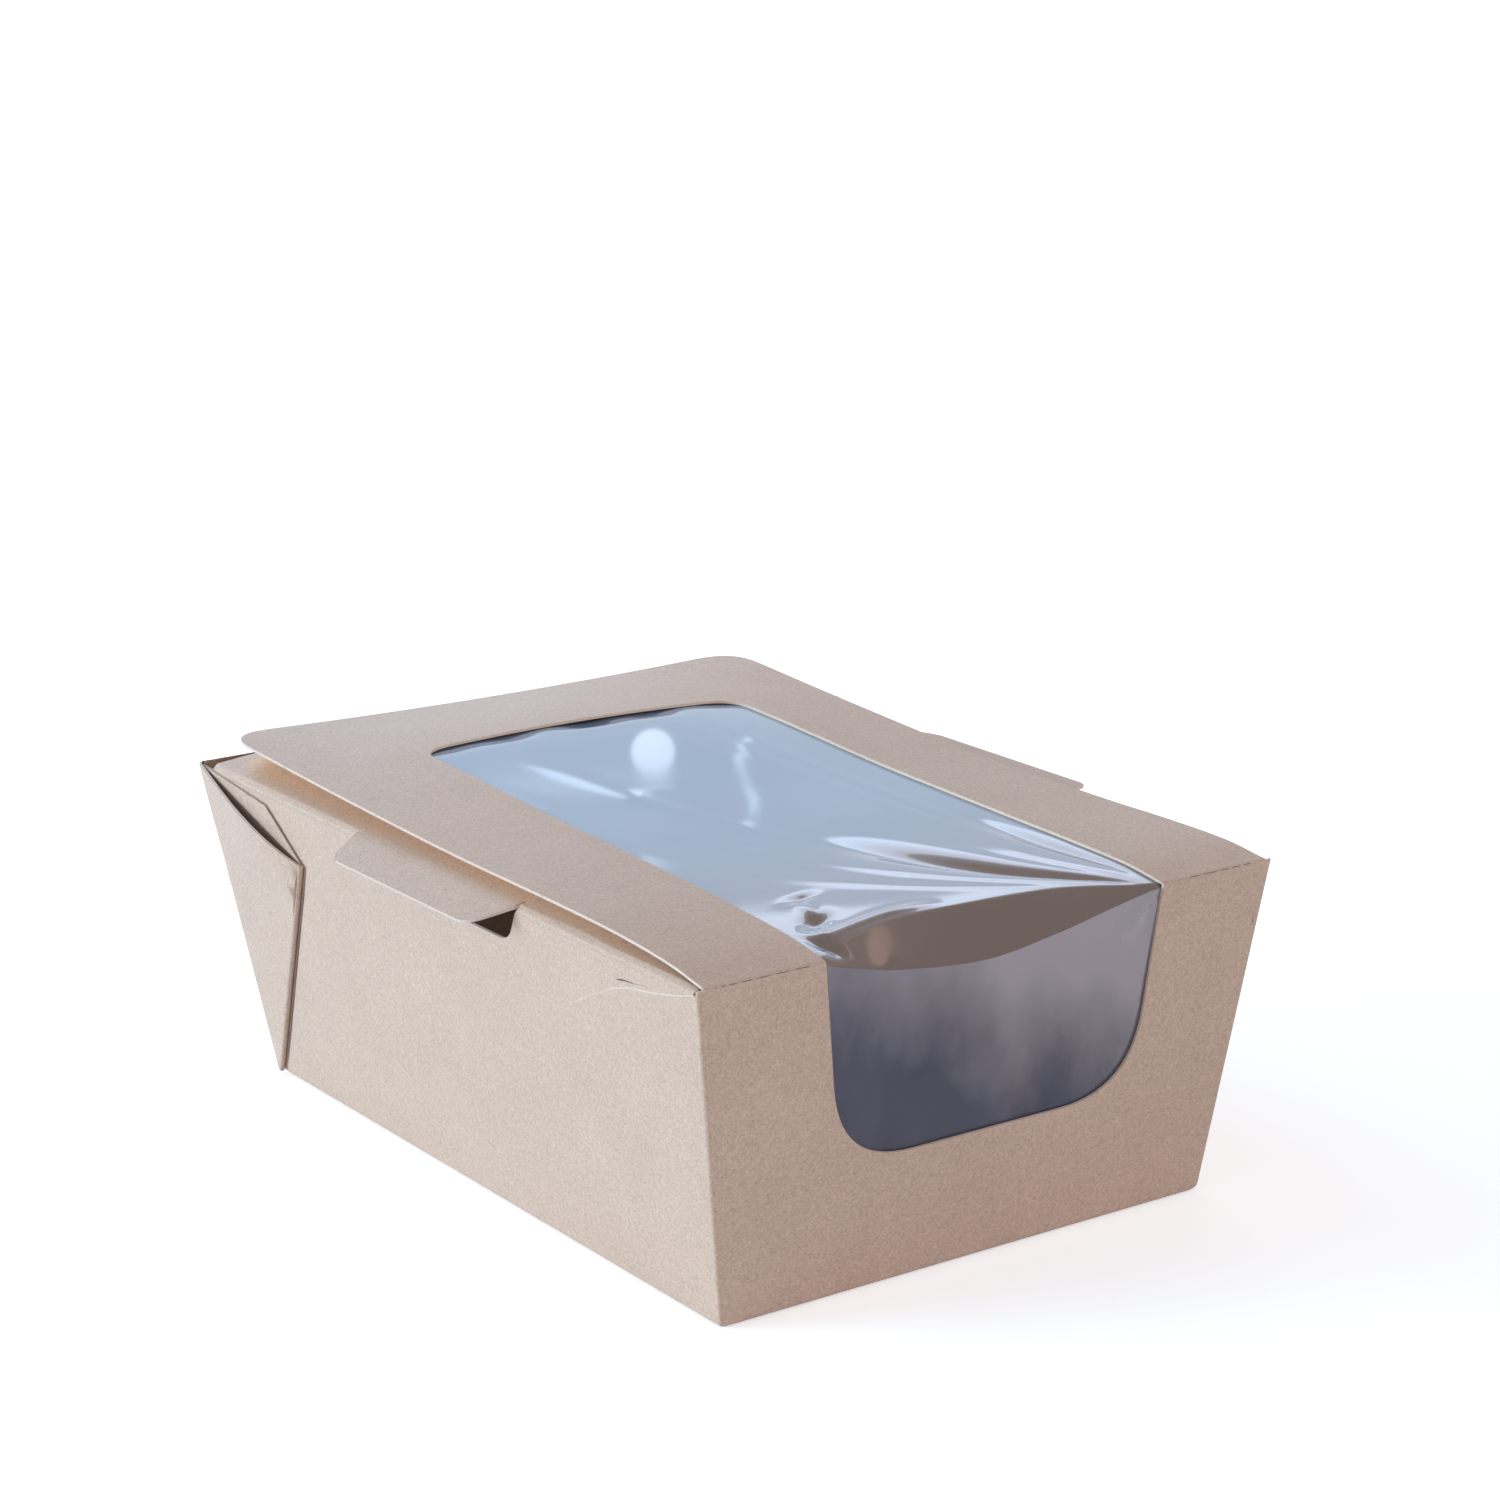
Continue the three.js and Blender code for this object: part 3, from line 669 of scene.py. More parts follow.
def flap_outline(wall, side):
    """The top line over one long wall in (s, b): up the flap's end, along it and down."""
    front = (flap_front_y, FLAP_END_REACH)
    rear = (flap_rear_y, FLAP_END_REACH)
    corners = [front, (flap_front_y + FLAP_FRONT_SLANT, FLAP_WIDTH),
               (flap_rear_y - FLAP_REAR_SLANT, FLAP_WIDTH), rear]
    line = rounded(corners, [0, FLAP_RADIUS, FLAP_RADIUS, 0])
    top = [(s_at(wall, y, WALL_HEIGHT), FOLD_START + distance_at(side, y, u)) for y, u in line]
    top = [(top[0][0], WALL_TOP), *top, (top[-1][0], WALL_TOP)]
    return top if wall == RIGHT_WALL else top[::-1]


def tab_outline(half, root, tip):
    """The tab or its notch, from the root's rear end round the tip: y and a second measure."""
    low, high = TAB_CENTRE_Y - half, TAB_CENTRE_Y + half
    return rounded([(high, root), (high - TAB_TAPER, tip), (low + TAB_TAPER, tip), (low, root)],
                   [0, TAB_RADIUS, TAB_RADIUS, 0])


def tab_root_stations():
    return [TAB_CENTRE_Y - TAB_WIDTH / 2 + TAB_WIDTH * i / ROOT_STEPS for i in range(ROOT_STEPS + 1)]


def notch_hole(wall, side):
    """The hole in the shell under and behind the tab, in (s, b)."""
    lowest = WALL_HEIGHT - TAB_LENGTH * math.cos(lean)
    hole = tab_outline(TAB_WIDTH / 2, NOTCH_TOP, lowest)
    hole += [(y, FOLD_START + distance_at(side, y, ROOT_U)) for y in tab_root_stations()]
    return [(s_at(wall, y, WALL_HEIGHT), b) for y, b in hole]


def tray_shell(bm):
    end = starts[-1]
    outline = [(0.0, BOTTOM_EDGE), (end, BOTTOM_EDGE), (end, WALL_HEIGHT)]
    outline += [(starts[ARC_RR], WALL_HEIGHT), (starts[ARC_RR], WALL_TOP)]
    outline += flap_outline(RIGHT_WALL, RIGHT)[::-1]
    outline += [(starts[RIGHT_WALL], WALL_TOP), (starts[RIGHT_WALL], FRONT_TOP)]
    outline += [(front_s(x, z), z) for x, z in window_points()][::-1]
    outline += [(starts[ARC_FL], FRONT_TOP), (starts[ARC_FL], WALL_TOP)]
    outline += flap_outline(LEFT_WALL, LEFT)[::-1]
    outline += [(starts[LEFT_WALL], WALL_TOP), (starts[LEFT_WALL], WALL_HEIGHT), (0.0, WALL_HEIGHT)]
    lines_s = []
    for i, (start, finish) in enumerate(zip(starts, starts[1:])):
        if i in QUARTERS:
            lines_s += stations((start, 0.00016), (finish, 1))
        else:
            lines_s += stations((start, 0.0003), (start + 0.0003, 0.0028), (finish - 0.0003, 0.0003),
                                (finish, 1))
    lines_s = sorted(set(round(v, 7) for v in lines_s))
    lines_b = stations((BOTTOM_EDGE, 0.0004), (BOTTOM_FOLD, 0.0028), (FOLD_START, 0.0003),
                       (FOLD_START + 0.0045, 0.002), (FOLD_START + 0.024, 1))
    holes = [notch_hole(LEFT_WALL, LEFT), notch_hole(RIGHT_WALL, RIGHT)]
    patch(bm, [outline] + holes, lines_s, lines_b, shell_point)
    return lines_s


def tray_base(bm, lines_s):
    """The floor of the tray, on the same points as the shell's lower edge."""
    loop = [shell_point(s, BOTTOM_EDGE)[:2] for s in lines_s[:-1]]
    lines_x = stations((-0.049, 0.007), (0.049, 1))
    lines_y = stations((-0.074, 0.007), (0.074, 1))
    grid = np.array([(x, y) for x in lines_x for y in lines_y])
    fill(bm, [loop], grid[inside(grid, [loop])], lambda x, y: (x, y, 0.0), facing=-1)


def tab_point(side, y, out):
    rise = flap_facts(side, y)[0]
    bend = smooth(-ROOT_U, TAB_LENGTH / 3, out)
    droop = math.tan(LEFT_TAB_DROOP if side == LEFT else RIGHT_TAB_DROOP)
    return (side * (top_half_width + out), y, WALL_HEIGHT - out * (rise * (1 - bend) + droop * bend))


def tab_patch(bm, side):
    loop = [(y, ROOT_U) for y in tab_root_stations()]
    loop += tab_outline(TAB_WIDTH / 2 - CUT_GAP, 0.0, -TAB_LENGTH)
    loop = [(side * y, u) for y, u in loop]
    lines_a = stations((-0.031, 0.002), (0.031, 1))
    lines_b = stations((-TAB_LENGTH, 0.0007), (ROOT_U, 1))
    patch(bm, [loop], lines_a, lines_b, lambda a, u: tab_point(side, side * a, -u))


def build_tray():
    bm = bmesh.new()
    lines_s = tray_shell(bm)
    tray_base(bm, lines_s)
    for side in (LEFT, RIGHT):
        tab_patch(bm, side)
    thicken(bm, BOARD)
    return into_object("kraft_tray", bm, kraft_set)


# How far a ribbon's edges lie below its path, as a share of its height
RIBBON_SUNK = 0.3


def ribbon(bm, path, outward, widths, height):
    """A thin raised line along a path that narrows to a point at both ends."""
    last = len(path) - 1
    rows = []
    for k, point in enumerate(path):
        point = Vector(point)
        run = (Vector(path[min(k + 1, last)]) - Vector(path[max(k - 1, 0)])).normalized()
        out = Vector(outward[k]).normalized()
        across = run.cross(out).normalized() * widths[k] / 2
        foot = point - out * height * RIBBON_SUNK
        if k in (0, last):
            rows.append([bm.verts.new(point)] * 3)
        else:
            rows.append([bm.verts.new(p) for p in (foot - across, point + out * height, foot + across)])
    for a, b in zip(rows, rows[1:]):
        for i, j in ((0, 1), (1, 2), (2, 0)):
            bm.faces.new(dict.fromkeys([a[i], a[j], b[j], b[i]]))


def wall_line(bm, side, line, height):
    """A ribbon on the outside of a long wall, through (y, z, width)."""
    path = [(side * wall_x(z), y, z) for y, z, _ in line]
    ribbon(bm, path, [(side, 0, 0)] * len(path), [w for _, _, w in line], height)


def web_layer(name, side, corners, offset, depth, materials):
    """A flat layer of board on a long wall: corners in y and z, and how far out it lies."""
    loop = [(y * side, z) for y, z in corners]
    lines_a = stations((-0.09, WEB_STEP), (0.09, 1))
    lines_b = stations((0.0, WEB_STEP), (0.062, 1))
    return sheet(f"{name}_{SIDE_NAME[side]}", loop, lines_a, lines_b,
                 lambda a, z: (side * (wall_x(z) + offset), a * side, z), depth, materials)


# Webs: their grid, the height and width of their foot, and how far the inner layer ends
# short of the rear corner
WEB_STEP = 0.0025
WEB_FOOT = 0.001
WEB_FOOT_WIDTH = 0.0012
WEB_END_GAP = 0.0006
# The rear web's outer layer: its bend round the corner, its sag, its gape and how far
# down that fades, its wrap, and how far the wrap stands off the rear wall
WEB_CORNER = 0.001
WEB_SAG = 0.0002
WEB_GAPE = 0.0018
WEB_GAPE_DEPTH = 0.018
WEB_WRAP = 0.0014
WEB_PROUD = 0.00012
# The fold between the two layers, and the painted shadow where it meets the wall
WEB_FOLD_MIDDLE = 1.3 * BOARD
WEB_FOLD_RADIUS = 1.1 * BOARD
WEB_SHADOW_SHIFT = 0.00100
WEB_SHADOW_WIDTH = 0.0005
WEB_SHADOW_HEIGHT = 0.00005


def round_rear(side, y, z, offset):
    """A point on a long wall, carried round the rear corner where y runs past it."""
    start = rear_y(z) - WEB_CORNER
    past = y - start
    x = wall_x(z) + offset
    if past <= 0:
        return side * x, y, z
    turn = min(past / WEB_CORNER, math.pi / 2)
    beyond = max(past - WEB_CORNER * math.pi / 2, 0)
    x -= WEB_CORNER * (1 - math.cos(turn)) + beyond
    return side * x, start + WEB_CORNER * math.sin(turn) + WEB_PROUD, z


def web_fold(side, low, high):
    """The rounded fold that joins a web's two layers, along a line on the wall."""
    low, high = Vector(low), Vector(high)
    run = (high - low).normalized()
    forward = Vector((-run.y, run.x))
    length = (high - low).length

    def place(a, b):
        along_run = a if side > 0 else length - a
        point = low + run * along_run + forward * WEB_FOLD_RADIUS * math.sin(b)
        x = wall_x(point.y) + WEB_FOLD_MIDDLE + WEB_FOLD_RADIUS * math.cos(b)
        return side * x, point.x, point.y

    lines_a = stations((0.0, 0.003), (length, 1))
    lines_b = stations((0.0, math.pi / 10), (math.pi, 1))
    loop = [(0.0, 0.0), (length, 0.0), (length, math.pi), (0.0, math.pi)]
    return sheet(f"rear_web_fold_{SIDE_NAME[side]}", loop, lines_a, lines_b, place, 0.8 * BOARD, kraft_set)


def rear_web(side):
    """The rear wall's corner web, folded back on the outside of the long wall."""
    apex = (rear_top_y - REAR_WEB_REACH, WALL_HEIGHT - REAR_WEB_DROP)
    heel_y = rear_y(WEB_FOOT)
    foot = (heel_y - WEB_FOOT_WIDTH, WEB_FOOT)
    kink = (rear_top_y - INNER_LAYER_KINK, WALL_HEIGHT - INNER_LAYER_DROP)
    inner_top = (rear_top_y - WEB_END_GAP, WALL_HEIGHT - BOARD)
    inner = web_layer("rear_web_inner", side, [foot, (heel_y - WEB_END_GAP, WEB_FOOT), inner_top, kink, apex],
                      BOARD, BOARD, (outside, within, shaded_edge))
    reach, drop = REAR_WEB_REACH, REAR_WEB_DROP

    def top_edge(t):
        return (apex[0] + reach * t, apex[1] + drop * t - WEB_SAG * math.sin(math.pi * t))

    def lift(y, z):
        t = min(max((y - apex[0]) / reach, 0), 1)
        below = apex[1] + drop * t - z
        return 2 * BOARD + WEB_GAPE * math.sin(math.pi * t ** 0.75) * smooth(WEB_GAPE_DEPTH, 0, below)

    arc_end = WEB_CORNER * (math.pi / 2 - 1)
    wrapped = arc_end + WEB_WRAP
    steps = 14
    outline = [foot, (heel_y + wrapped, WEB_FOOT), (rear_top_y + wrapped, WALL_HEIGHT)]
    outline += [top_edge(1 - k / steps) for k in range(steps + 1)]
    # the grid runs along the rear corner, so that the wrap bends on grid lines
    loop = [((y - rear_y(z)) * side, z) for y, z in outline]
    lines = stations((-0.05, 0.0025), (-0.018, 0.0005), (-WEB_CORNER, 0.00022), (arc_end, 0.0007), (0.003, 1))
    lines_a = sorted(side * v for v in lines)
    lines_b = stations((0.0, WEB_STEP), (0.062, 1))

    def place(a, z):
        y = a * side + rear_y(z)
        return round_rear(side, y, z, lift(y, z))

    outer = sheet(f"rear_web_outer_{SIDE_NAME[side]}", loop, lines_a, lines_b, place, BOARD,
                  (outside, gape_shade, cut_edge))
    fold = web_fold(side, foot, apex)

    # the painted shadow where the fold meets the wall, a thin line of dark board
    bm = bmesh.new()
    run = Vector(apex) - Vector(foot)
    fold_shadow = [(foot[0] + run.x * k / 8 - WEB_SHADOW_SHIFT, foot[1] + run.y * k / 8, WEB_SHADOW_WIDTH)
              for k in range(9)]
    wall_line(bm, side, fold_shadow, WEB_SHADOW_HEIGHT)
    fold_shadow = into_object(f"rear_web_fold_shadow_{SIDE_NAME[side]}", bm, (painted_shade,))
    return [inner, outer, fold, fold_shadow]


def front_web(side):
    """The front corner web, two layers folded flat inside the long wall."""
    inset = BOARD / 2
    apex = (hinge_y + FRONT_WEB_REACH, WALL_HEIGHT - FRONT_WEB_DROP)
    kink = (hinge_y + INNER_LAYER_KINK, WALL_HEIGHT - 2 * INNER_LAYER_DROP)
    top = (hinge_y + inset, WALL_HEIGHT - 3 * BOARD)
    heel = (front_y(WEB_FOOT) + inset, WEB_FOOT)
    foot = (heel[0] + WEB_FOOT_WIDTH, WEB_FOOT)
    return web_layer("front_web", side, [heel, foot, apex, kink, top], -BOARD * 1.02, 2 * BOARD, kraft_set)


LID_FRONT_GAP = 0.0003


def build_lid():
    half = lid_half_width
    front = hinge_y + LID_FRONT_GAP
    window = rounded([(-window_half_width, front), (-window_half_width, window_rear_y),
                      (window_half_width, window_rear_y), (window_half_width, front)],
                     [0, LID_WINDOW_RADIUS, LID_WINDOW_RADIUS, 0], 12)
    outer = rounded([(half, front), (half, lid_rear_y), (-half, lid_rear_y), (-half, front)],
                    [0, LID_CORNER_RADIUS, LID_CORNER_RADIUS, 0], 12)
    lines_x = stations((-half, 0.0025), (half, 1))
    lines_y = stations((front, 0.0012), (front + 0.012, 0.0025), (lid_rear_y, 1))
    return sheet("kraft_lid", outer + window, lines_x, lines_y, lambda x, y: (x, y, lid_top(x, y)), BOARD,
                 kraft_set)


# Film: one sheet from behind the lid window's rear edge, round the hinge and down
# behind the front wall. Its grid is x and t, the distance from the inner corner of the
# fold: positive on the lid, negative on the front wall.

FILM_GAP = 0.00003
film_drop = BOARD + FILM_GAP
fold_corner = Vector((0, hinge_y + BOARD + 2 * FILM_GAP, WALL_HEIGHT - film_drop))
film_rear = window_rear_y + FILM_OVERLAP - fold_corner.y
film_sill = -(WALL_HEIGHT - SILL_HEIGHT + FILM_OVERLAP) * math.hypot(WALL_HEIGHT, FRONT_FLARE) / WALL_HEIGHT

# How far the film's bend reaches back along the lid and down the front wall, by x
BEND_ON_LID = [(0.0, 0.0006), (0.0051, 0.0010), (0.0095, 0.0042), (0.0258, 0.0084), (0.0439, 0.0082),
               (0.0571, 0.0064), (0.0676, 0.0026), (0.0739, 0.0006), (0.079, 0.0006)]
BEND_ON_FRONT = [(0.0, 0.0005), (0.0051, 0.0006), (0.0095, 0.0016), (0.0198, 0.0041), (0.0380, 0.0061),
                 (0.0522, 0.0044), (0.0640, 0.0020), (0.0739, 0.0004), (0.079, 0.0004)]
# The grid lines that the bend's two edges lie on
BEND_LOW, BEND_HIGH = -0.005, 0.007
BEND_FULLNESS = 0.18


def bend_reach(x):
    across = min(max(x + 0.0395, 0), 0.079)
    return along(BEND_ON_FRONT, across), along(BEND_ON_LID, across)


def film_distance(x, v):
    """The distance along the film of a grid line; the bend's edges keep to grid lines."""
    front_reach, lid_reach = bend_reach(x)
    if v > BEND_HIGH:
        return lid_reach + (v - BEND_HIGH) / (film_rear - BEND_HIGH) * (film_rear - lid_reach)
    if v < BEND_LOW:
        return -front_reach + (BEND_LOW - v) / (BEND_LOW - film_sill) * (film_sill + front_reach)
    return -front_reach + (v - BEND_LOW) / (BEND_HIGH - BEND_LOW) * (front_reach + lid_reach)


def film_plane(x, t):
    if t >= 0:
        y = fold_corner.y + t
        return Vector((x, y, lid_top(x, y) - film_drop))
    down = Vector((0, FRONT_FLARE, -WALL_HEIGHT)).normalized()
    return Vector((x, fold_corner.y, fold_corner.z)) + down * -t


# Wrinkles fan out from the right end of the hinge and turn parallel further back. Each
# is (line, near width, far width, height): a line's number is its slope where it leaves
# the hinge, and its far side looks to the front.
FAN_ROOT = Vector((0.0343, hinge_y))
FAN_LENGTH = 0.060
FAN = [(0.24, 0.08, 0.15, -0.036), (0.56, 0.10, 0.12, 0.004), (0.80, 0.06, 0.08, -0.003),
       (1.34, 0.15, 0.23, -0.078), (1.80, 0.16, 0.16, 0.006), (2.4, 0.20, 0.20, 0.004)]
# Long soft folds down the lid: (line, width, height)
LONG_FOLDS = [(0.30, 0.05, 0.00004), (0.45, 0.06, 0.00004), (1.42, 0.07, 0.00004), (1.85, 0.07, 0.00002)]
FILM_SAG = 0.0007
# How deep the loops hang between the spots of glue at the film's rear edge
GLUE_LOOP = 0.0006
# A low ridge along the bend's rear edge, over its left half: from, to, how far behind
# the edge, half width and height
RIDGE = (-0.0325, -0.0020, 0.0026, 0.0013, 0.0006)
# Puckers by the left end of the hinge: (x, y, half length, half width, turn, height)
PUCKERS = [(-0.0222, -0.0592, 0.0030, 0.0010, 0.3, -0.00045),
           (-0.0264, -0.0693, 0.0034, 0.0017, 0.6, -0.0011),
           (-0.0305, -0.0780, 0.0030, 0.0012, 1.9, -0.0009),
           (-0.0240, -0.0640, 0.0030, 0.0010, 1.3, 0.0003),
           (-0.0285, -0.0738, 0.0030, 0.0010, 1.0, 0.0004)]
# The front film's swell, and puckers that fan out down it: (angle, reach, height)
FRONT_BULGE = 0.0010
FRONT_PUCKERS = [(0.35, 0.012, 0.0004), (0.75, 0.016, -0.0004), (1.2, 0.010, 0.0003)]


def film_sag(x, t):
    """How far the film hangs below its flat place, with its wrinkles."""
    if t <= 0:
        return 0.0
    y = fold_corner.y + t
    length = window_rear_y - fold_corner.y
    across = max(1 - (x / window_half_width) ** 2, 0)
    sag = FILM_SAG * across * math.sin(math.pi * min(t / length, 1))
    # the rear edge hangs in loops between the spots of glue
    rear = smooth(length - 0.006, length - 0.001, t) * smooth(length + 0.005, length + 0.001, t)
    loops = 0.5 + 0.5 * math.sin(x / 0.0034 + 0.8) * math.sin(x / 0.0101 + 2.1)
    sag += GLUE_LOOP * rear * (0.15 + 0.85 * loops) * across ** 0.5
    # the fan
    dy = max(y - FAN_ROOT.y, 0)
    spread = dy / (1 + dy / FAN_LENGTH) + 1e-6
    line = (FAN_ROOT.x - x) / spread
    fade = smooth(0.0, 0.010, dy) * (1 - smooth(0.014, 0.052, dy))
    edge = smooth(window_half_width + 0.002, window_half_width - 0.006, abs(x))
    for centre, near_width, far_width, height in FAN:
        width = near_width if line > centre else far_width
        sag -= height * spread * fade * edge * math.exp(-((line - centre) / width) ** 2)
    low, high, behind, half_width, height = RIDGE
    past = (t - bend_reach(x)[1] - behind) / half_width
    ends = smooth(low, low + 0.006, x) * smooth(high, high - 0.012, x)
    sag -= height * ends * math.exp(-past * past)
    far = smooth(0.02, 0.06, dy) * smooth(0.135, 0.105, dy) * edge
    for centre, width, height in LONG_FOLDS:
        sag -= height * far * math.exp(-((line - centre) / width) ** 2)
    for px, py, long, wide, turn, height in PUCKERS:
        dx, dz = x - px, y - py
        a = (dx * math.cos(turn) + dz * math.sin(turn)) / long
        b = (-dx * math.sin(turn) + dz * math.cos(turn)) / wide
        sag -= height * math.exp(-a * a - b * b)
    return sag


def film_bulge(x, t):
    """How far the front film swells inward, with the small puckers by its right edge."""
    if t >= 0:
        return 0.0
    across = max(1 - (x / (window_half_width + 0.002)) ** 2, 0)
    bulge = FRONT_BULGE * across * smooth(0.0, -0.018, t) * smooth(-0.042, -0.022, t)
    for centre, reach, height in FRONT_PUCKERS:
        dx, dz = FAN_ROOT.x - x, -t
        distance = math.hypot(dx, dz)
        angle = math.atan2(dx, dz + 1e-6)
        bulge += (height * smooth(0, 0.004, distance) * smooth(reach, reach * 0.3, distance)
                  * math.exp(-((angle - centre) / 0.12) ** 2))
    return bulge


def film_point(x, v):
    t = film_distance(x, v)
    front_reach, lid_reach = bend_reach(x)
    if -front_reach < t < lid_reach:
        share = (t + front_reach) / (front_reach + lid_reach)
        a, b = film_plane(x, -front_reach), film_plane(x, lid_reach)
        corner = Vector((x, fold_corner.y, fold_corner.z))
        flat = a.lerp(b, share)
        curved = a * (1 - share) ** 2 + corner * 2 * share * (1 - share) + b * share ** 2
        point = flat.lerp(curved, BEND_FULLNESS)
    else:
        point = film_plane(x, t)
    point.z -= film_sag(x, t)
    point.y += film_bulge(x, t)
    return point


def build_film():
    half = window_half_width + FILM_OVERLAP
    corners = [(half, 0), (half, film_rear), (-half, film_rear), (-half, 0), (-half + LEFT_TAPER, film_sill),
               (half - RIGHT_TAPER, film_sill)]
    outline = rounded(corners, [0, LID_WINDOW_RADIUS, LID_WINDOW_RADIUS, 0,
                                FRONT_WINDOW_RADIUS, FRONT_WINDOW_RADIUS], 12)
    lines_x = stations((-half, 0.0007), (half, 1))
    lines_v = stations((film_sill, 0.0012), (BEND_LOW, 0.0004), (BEND_HIGH, 0.0008), (film_rear, 1))
    bm = bmesh.new()
    patch(bm, [outline], lines_x, lines_v, lambda x, v: (x, v, 0))
    upright = {f for f in bm.faces if f.calc_center_median().y < BEND_LOW}
    for v in bm.verts:
        v.co = film_point(v.co.x, v.co.y)
    thicken(bm, FILM)
    for face in bm.faces:
        face.material_index = 0
    for face in upright:
        face.material_index = 1
        for edge in face.edges:
            if any(other.material_index == 0 and other not in upright for other in edge.link_faces):
                edge.smooth = False
    return into_object("window_film", bm, (lid_film_look, front_film_look))


# The board's outer skin at the hinge: how far it reaches down and back, its bend, its
# thickness and how far it stands proud
HINGE_REACH = 0.0013
HINGE_RADIUS = 0.0005
HINGE_FLAT = HINGE_REACH - HINGE_RADIUS
HINGE_BEND = HINGE_RADIUS * math.pi / 2
HINGE_SKIN = 0.0001
HINGE_PROUD = 0.00003
# Dashes of painted shadow where the blade cut through along the fold: (from, to) in x
HINGE_CUTS = {LEFT: [(-0.0541, -0.0531), (-0.0528, -0.0509), (-0.0506, -0.0480), (-0.0477, -0.0445),
                     (-0.0443, -0.0410), (-0.0408, -0.0372)],
              RIGHT: [(0.0399, 0.0424), (0.0427, 0.0466), (0.0469, 0.0490), (0.0494, 0.0515),
                      (0.0518, 0.0537)]}
HINGE_CUT_WIDTH = 0.00018
HINGE_CUT_HEIGHT = 0.00003


def hinge_point(x, v):
    if v < HINGE_FLAT:
        z = WALL_HEIGHT - HINGE_REACH + v
        return x, front_y(z) - HINGE_PROUD, z
    if v > HINGE_FLAT + HINGE_BEND:
        y = hinge_y + HINGE_RADIUS + (v - HINGE_FLAT - HINGE_BEND)
        return x, y, lid_top(x, y) + HINGE_PROUD
    angle = (v - HINGE_FLAT) / HINGE_RADIUS
    return (x, hinge_y - HINGE_PROUD + HINGE_RADIUS * (1 - math.cos(angle)),
            WALL_HEIGHT - HINGE_RADIUS + HINGE_PROUD + HINGE_RADIUS * math.sin(angle))


def hinge_fold(side):
    """The board's outer skin carried over the hinge fold, with painted shadow in the cuts along it."""
    low, high = sorted((side * window_half_width, side * lid_half_width))
    total = 2 * HINGE_FLAT + HINGE_BEND
    middle = HINGE_FLAT + HINGE_BEND / 2
    loop = [(low, 0.0), (high, 0.0), (high, total), (low, total)]
    lines_x = stations((low, 0.0015), (high, 1))
    lines_v = stations((0.0, 0.0004), (HINGE_FLAT, 0.00013), (HINGE_FLAT + HINGE_BEND, 0.0004), (total, 1))
    skin = sheet(f"hinge_fold_{SIDE_NAME[side]}", loop, lines_x, lines_v, hinge_point, HINGE_SKIN, kraft_set)
    bm = bmesh.new()
    for start, end in HINGE_CUTS[side]:
        path = [hinge_point(start + (end - start) * k / 4, middle) for k in range(5)]
        ribbon(bm, path, [(0, -1, 1)] * 5, [HINGE_CUT_WIDTH] * 5, HINGE_CUT_HEIGHT)
    cuts = into_object(f"hinge_cuts_{SIDE_NAME[side]}", bm, (cut_shadow,))
    return [skin, cuts]


for fold_side in (LEFT, RIGHT):
    for strip in hinge_fold(fold_side):
        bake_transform(strip)

# The scored line from the front web's point to the corner, on the outside of each long
# wall, its paleness partly a painted highlight on its ridge, and the little mark of painted shade above it:
# (y, z, width)
SCORE = [(-0.0433, 0.0474, 0), (-0.0470, 0.0492, 0.00022), (-0.0520, 0.0515, 0.00016),
         (-0.0577, 0.0541, 0.00030), (-0.0630, 0.0556, 0.00034), (-0.0693, 0.0566, 0.00036),
         (-0.0760, 0.0580, 0.00034), (-0.0805, 0.0592, 0.00030), (-0.0832, 0.0600, 0)]
SCORE_SHADE = [(-0.0592, 0.0560, 0), (-0.0605, 0.0564, 0.0005), (-0.0618, 0.0566, 0.0004),
        (-0.0650, 0.0568, 0.00012), (-0.0690, 0.0575, 0)]
SCORE_HEIGHT = 0.00006
SCORE_SHADE_HEIGHT = 0.00004
# The cuts along the flap's fold: their length, gap, width and height, where they run in
# y, and how far round the fold they lie
FOLD_DASH, FOLD_DASH_GAP = 0.0046, 0.0007
FOLD_DASH_WIDTH, FOLD_DASH_HEIGHT = 0.00012, 0.00004
FOLD_DASH_RUNS = [(-0.0790, -0.0310), (0.0250, 0.0520)]
FOLD_DASH_TURN = 0.42


def marks(side):
    """Scored lines and fold perforations in the paler torn board, on one side; the scored line's paleness is
    partly a painted highlight, and the little mark above it is painted shade.
    """
    bm = bmesh.new()
    wall_line(bm, side, SCORE, SCORE_HEIGHT)
    for start, end in FOLD_DASH_RUNS:
        y = start
        while y + FOLD_DASH < end:
            path = []
            for k in range(6):
                here = y + FOLD_DASH * k / 5
                _, _, turn, _, straight = flap_facts(side, here)
                u, z = flap_point(side, here, straight + FOLD_RADIUS * turn * FOLD_DASH_TURN)
                path.append((side * (top_half_width - u), here, z))
            ribbon(bm, path, [(side, 0, 0.9)] * 6, [FOLD_DASH_WIDTH] * 6, FOLD_DASH_HEIGHT)
            y += FOLD_DASH + FOLD_DASH_GAP
    pale = into_object(f"scored_lines_{SIDE_NAME[side]}", bm, (cut_edge,))
    bm = bmesh.new()
    # painted shade: the little mark above the scored line
    wall_line(bm, side, SCORE_SHADE, SCORE_SHADE_HEIGHT)
    dark = into_object(f"score_shade_{SIDE_NAME[side]}", bm, (painted_shade,))
    return [pale, dark]


for mark_side in (LEFT, RIGHT):
    for mark in marks(mark_side):
        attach(mark, "tray")

# Nicks left where the lid was held in the sheet while it was cut: places along its
# edges, and a nick's shape in (outward, y)
NICKS = [(LEFT, 0.0530), (LEFT, -0.0360), (RIGHT, 0.0400), (RIGHT, -0.0300)]
NICK_SHAPE = [(-0.0001, -0.0006), (0.00012, -0.0001), (0.00018, 0.0002), (-0.0001, 0.0005)]
NICK_WIDTH = 0.0003


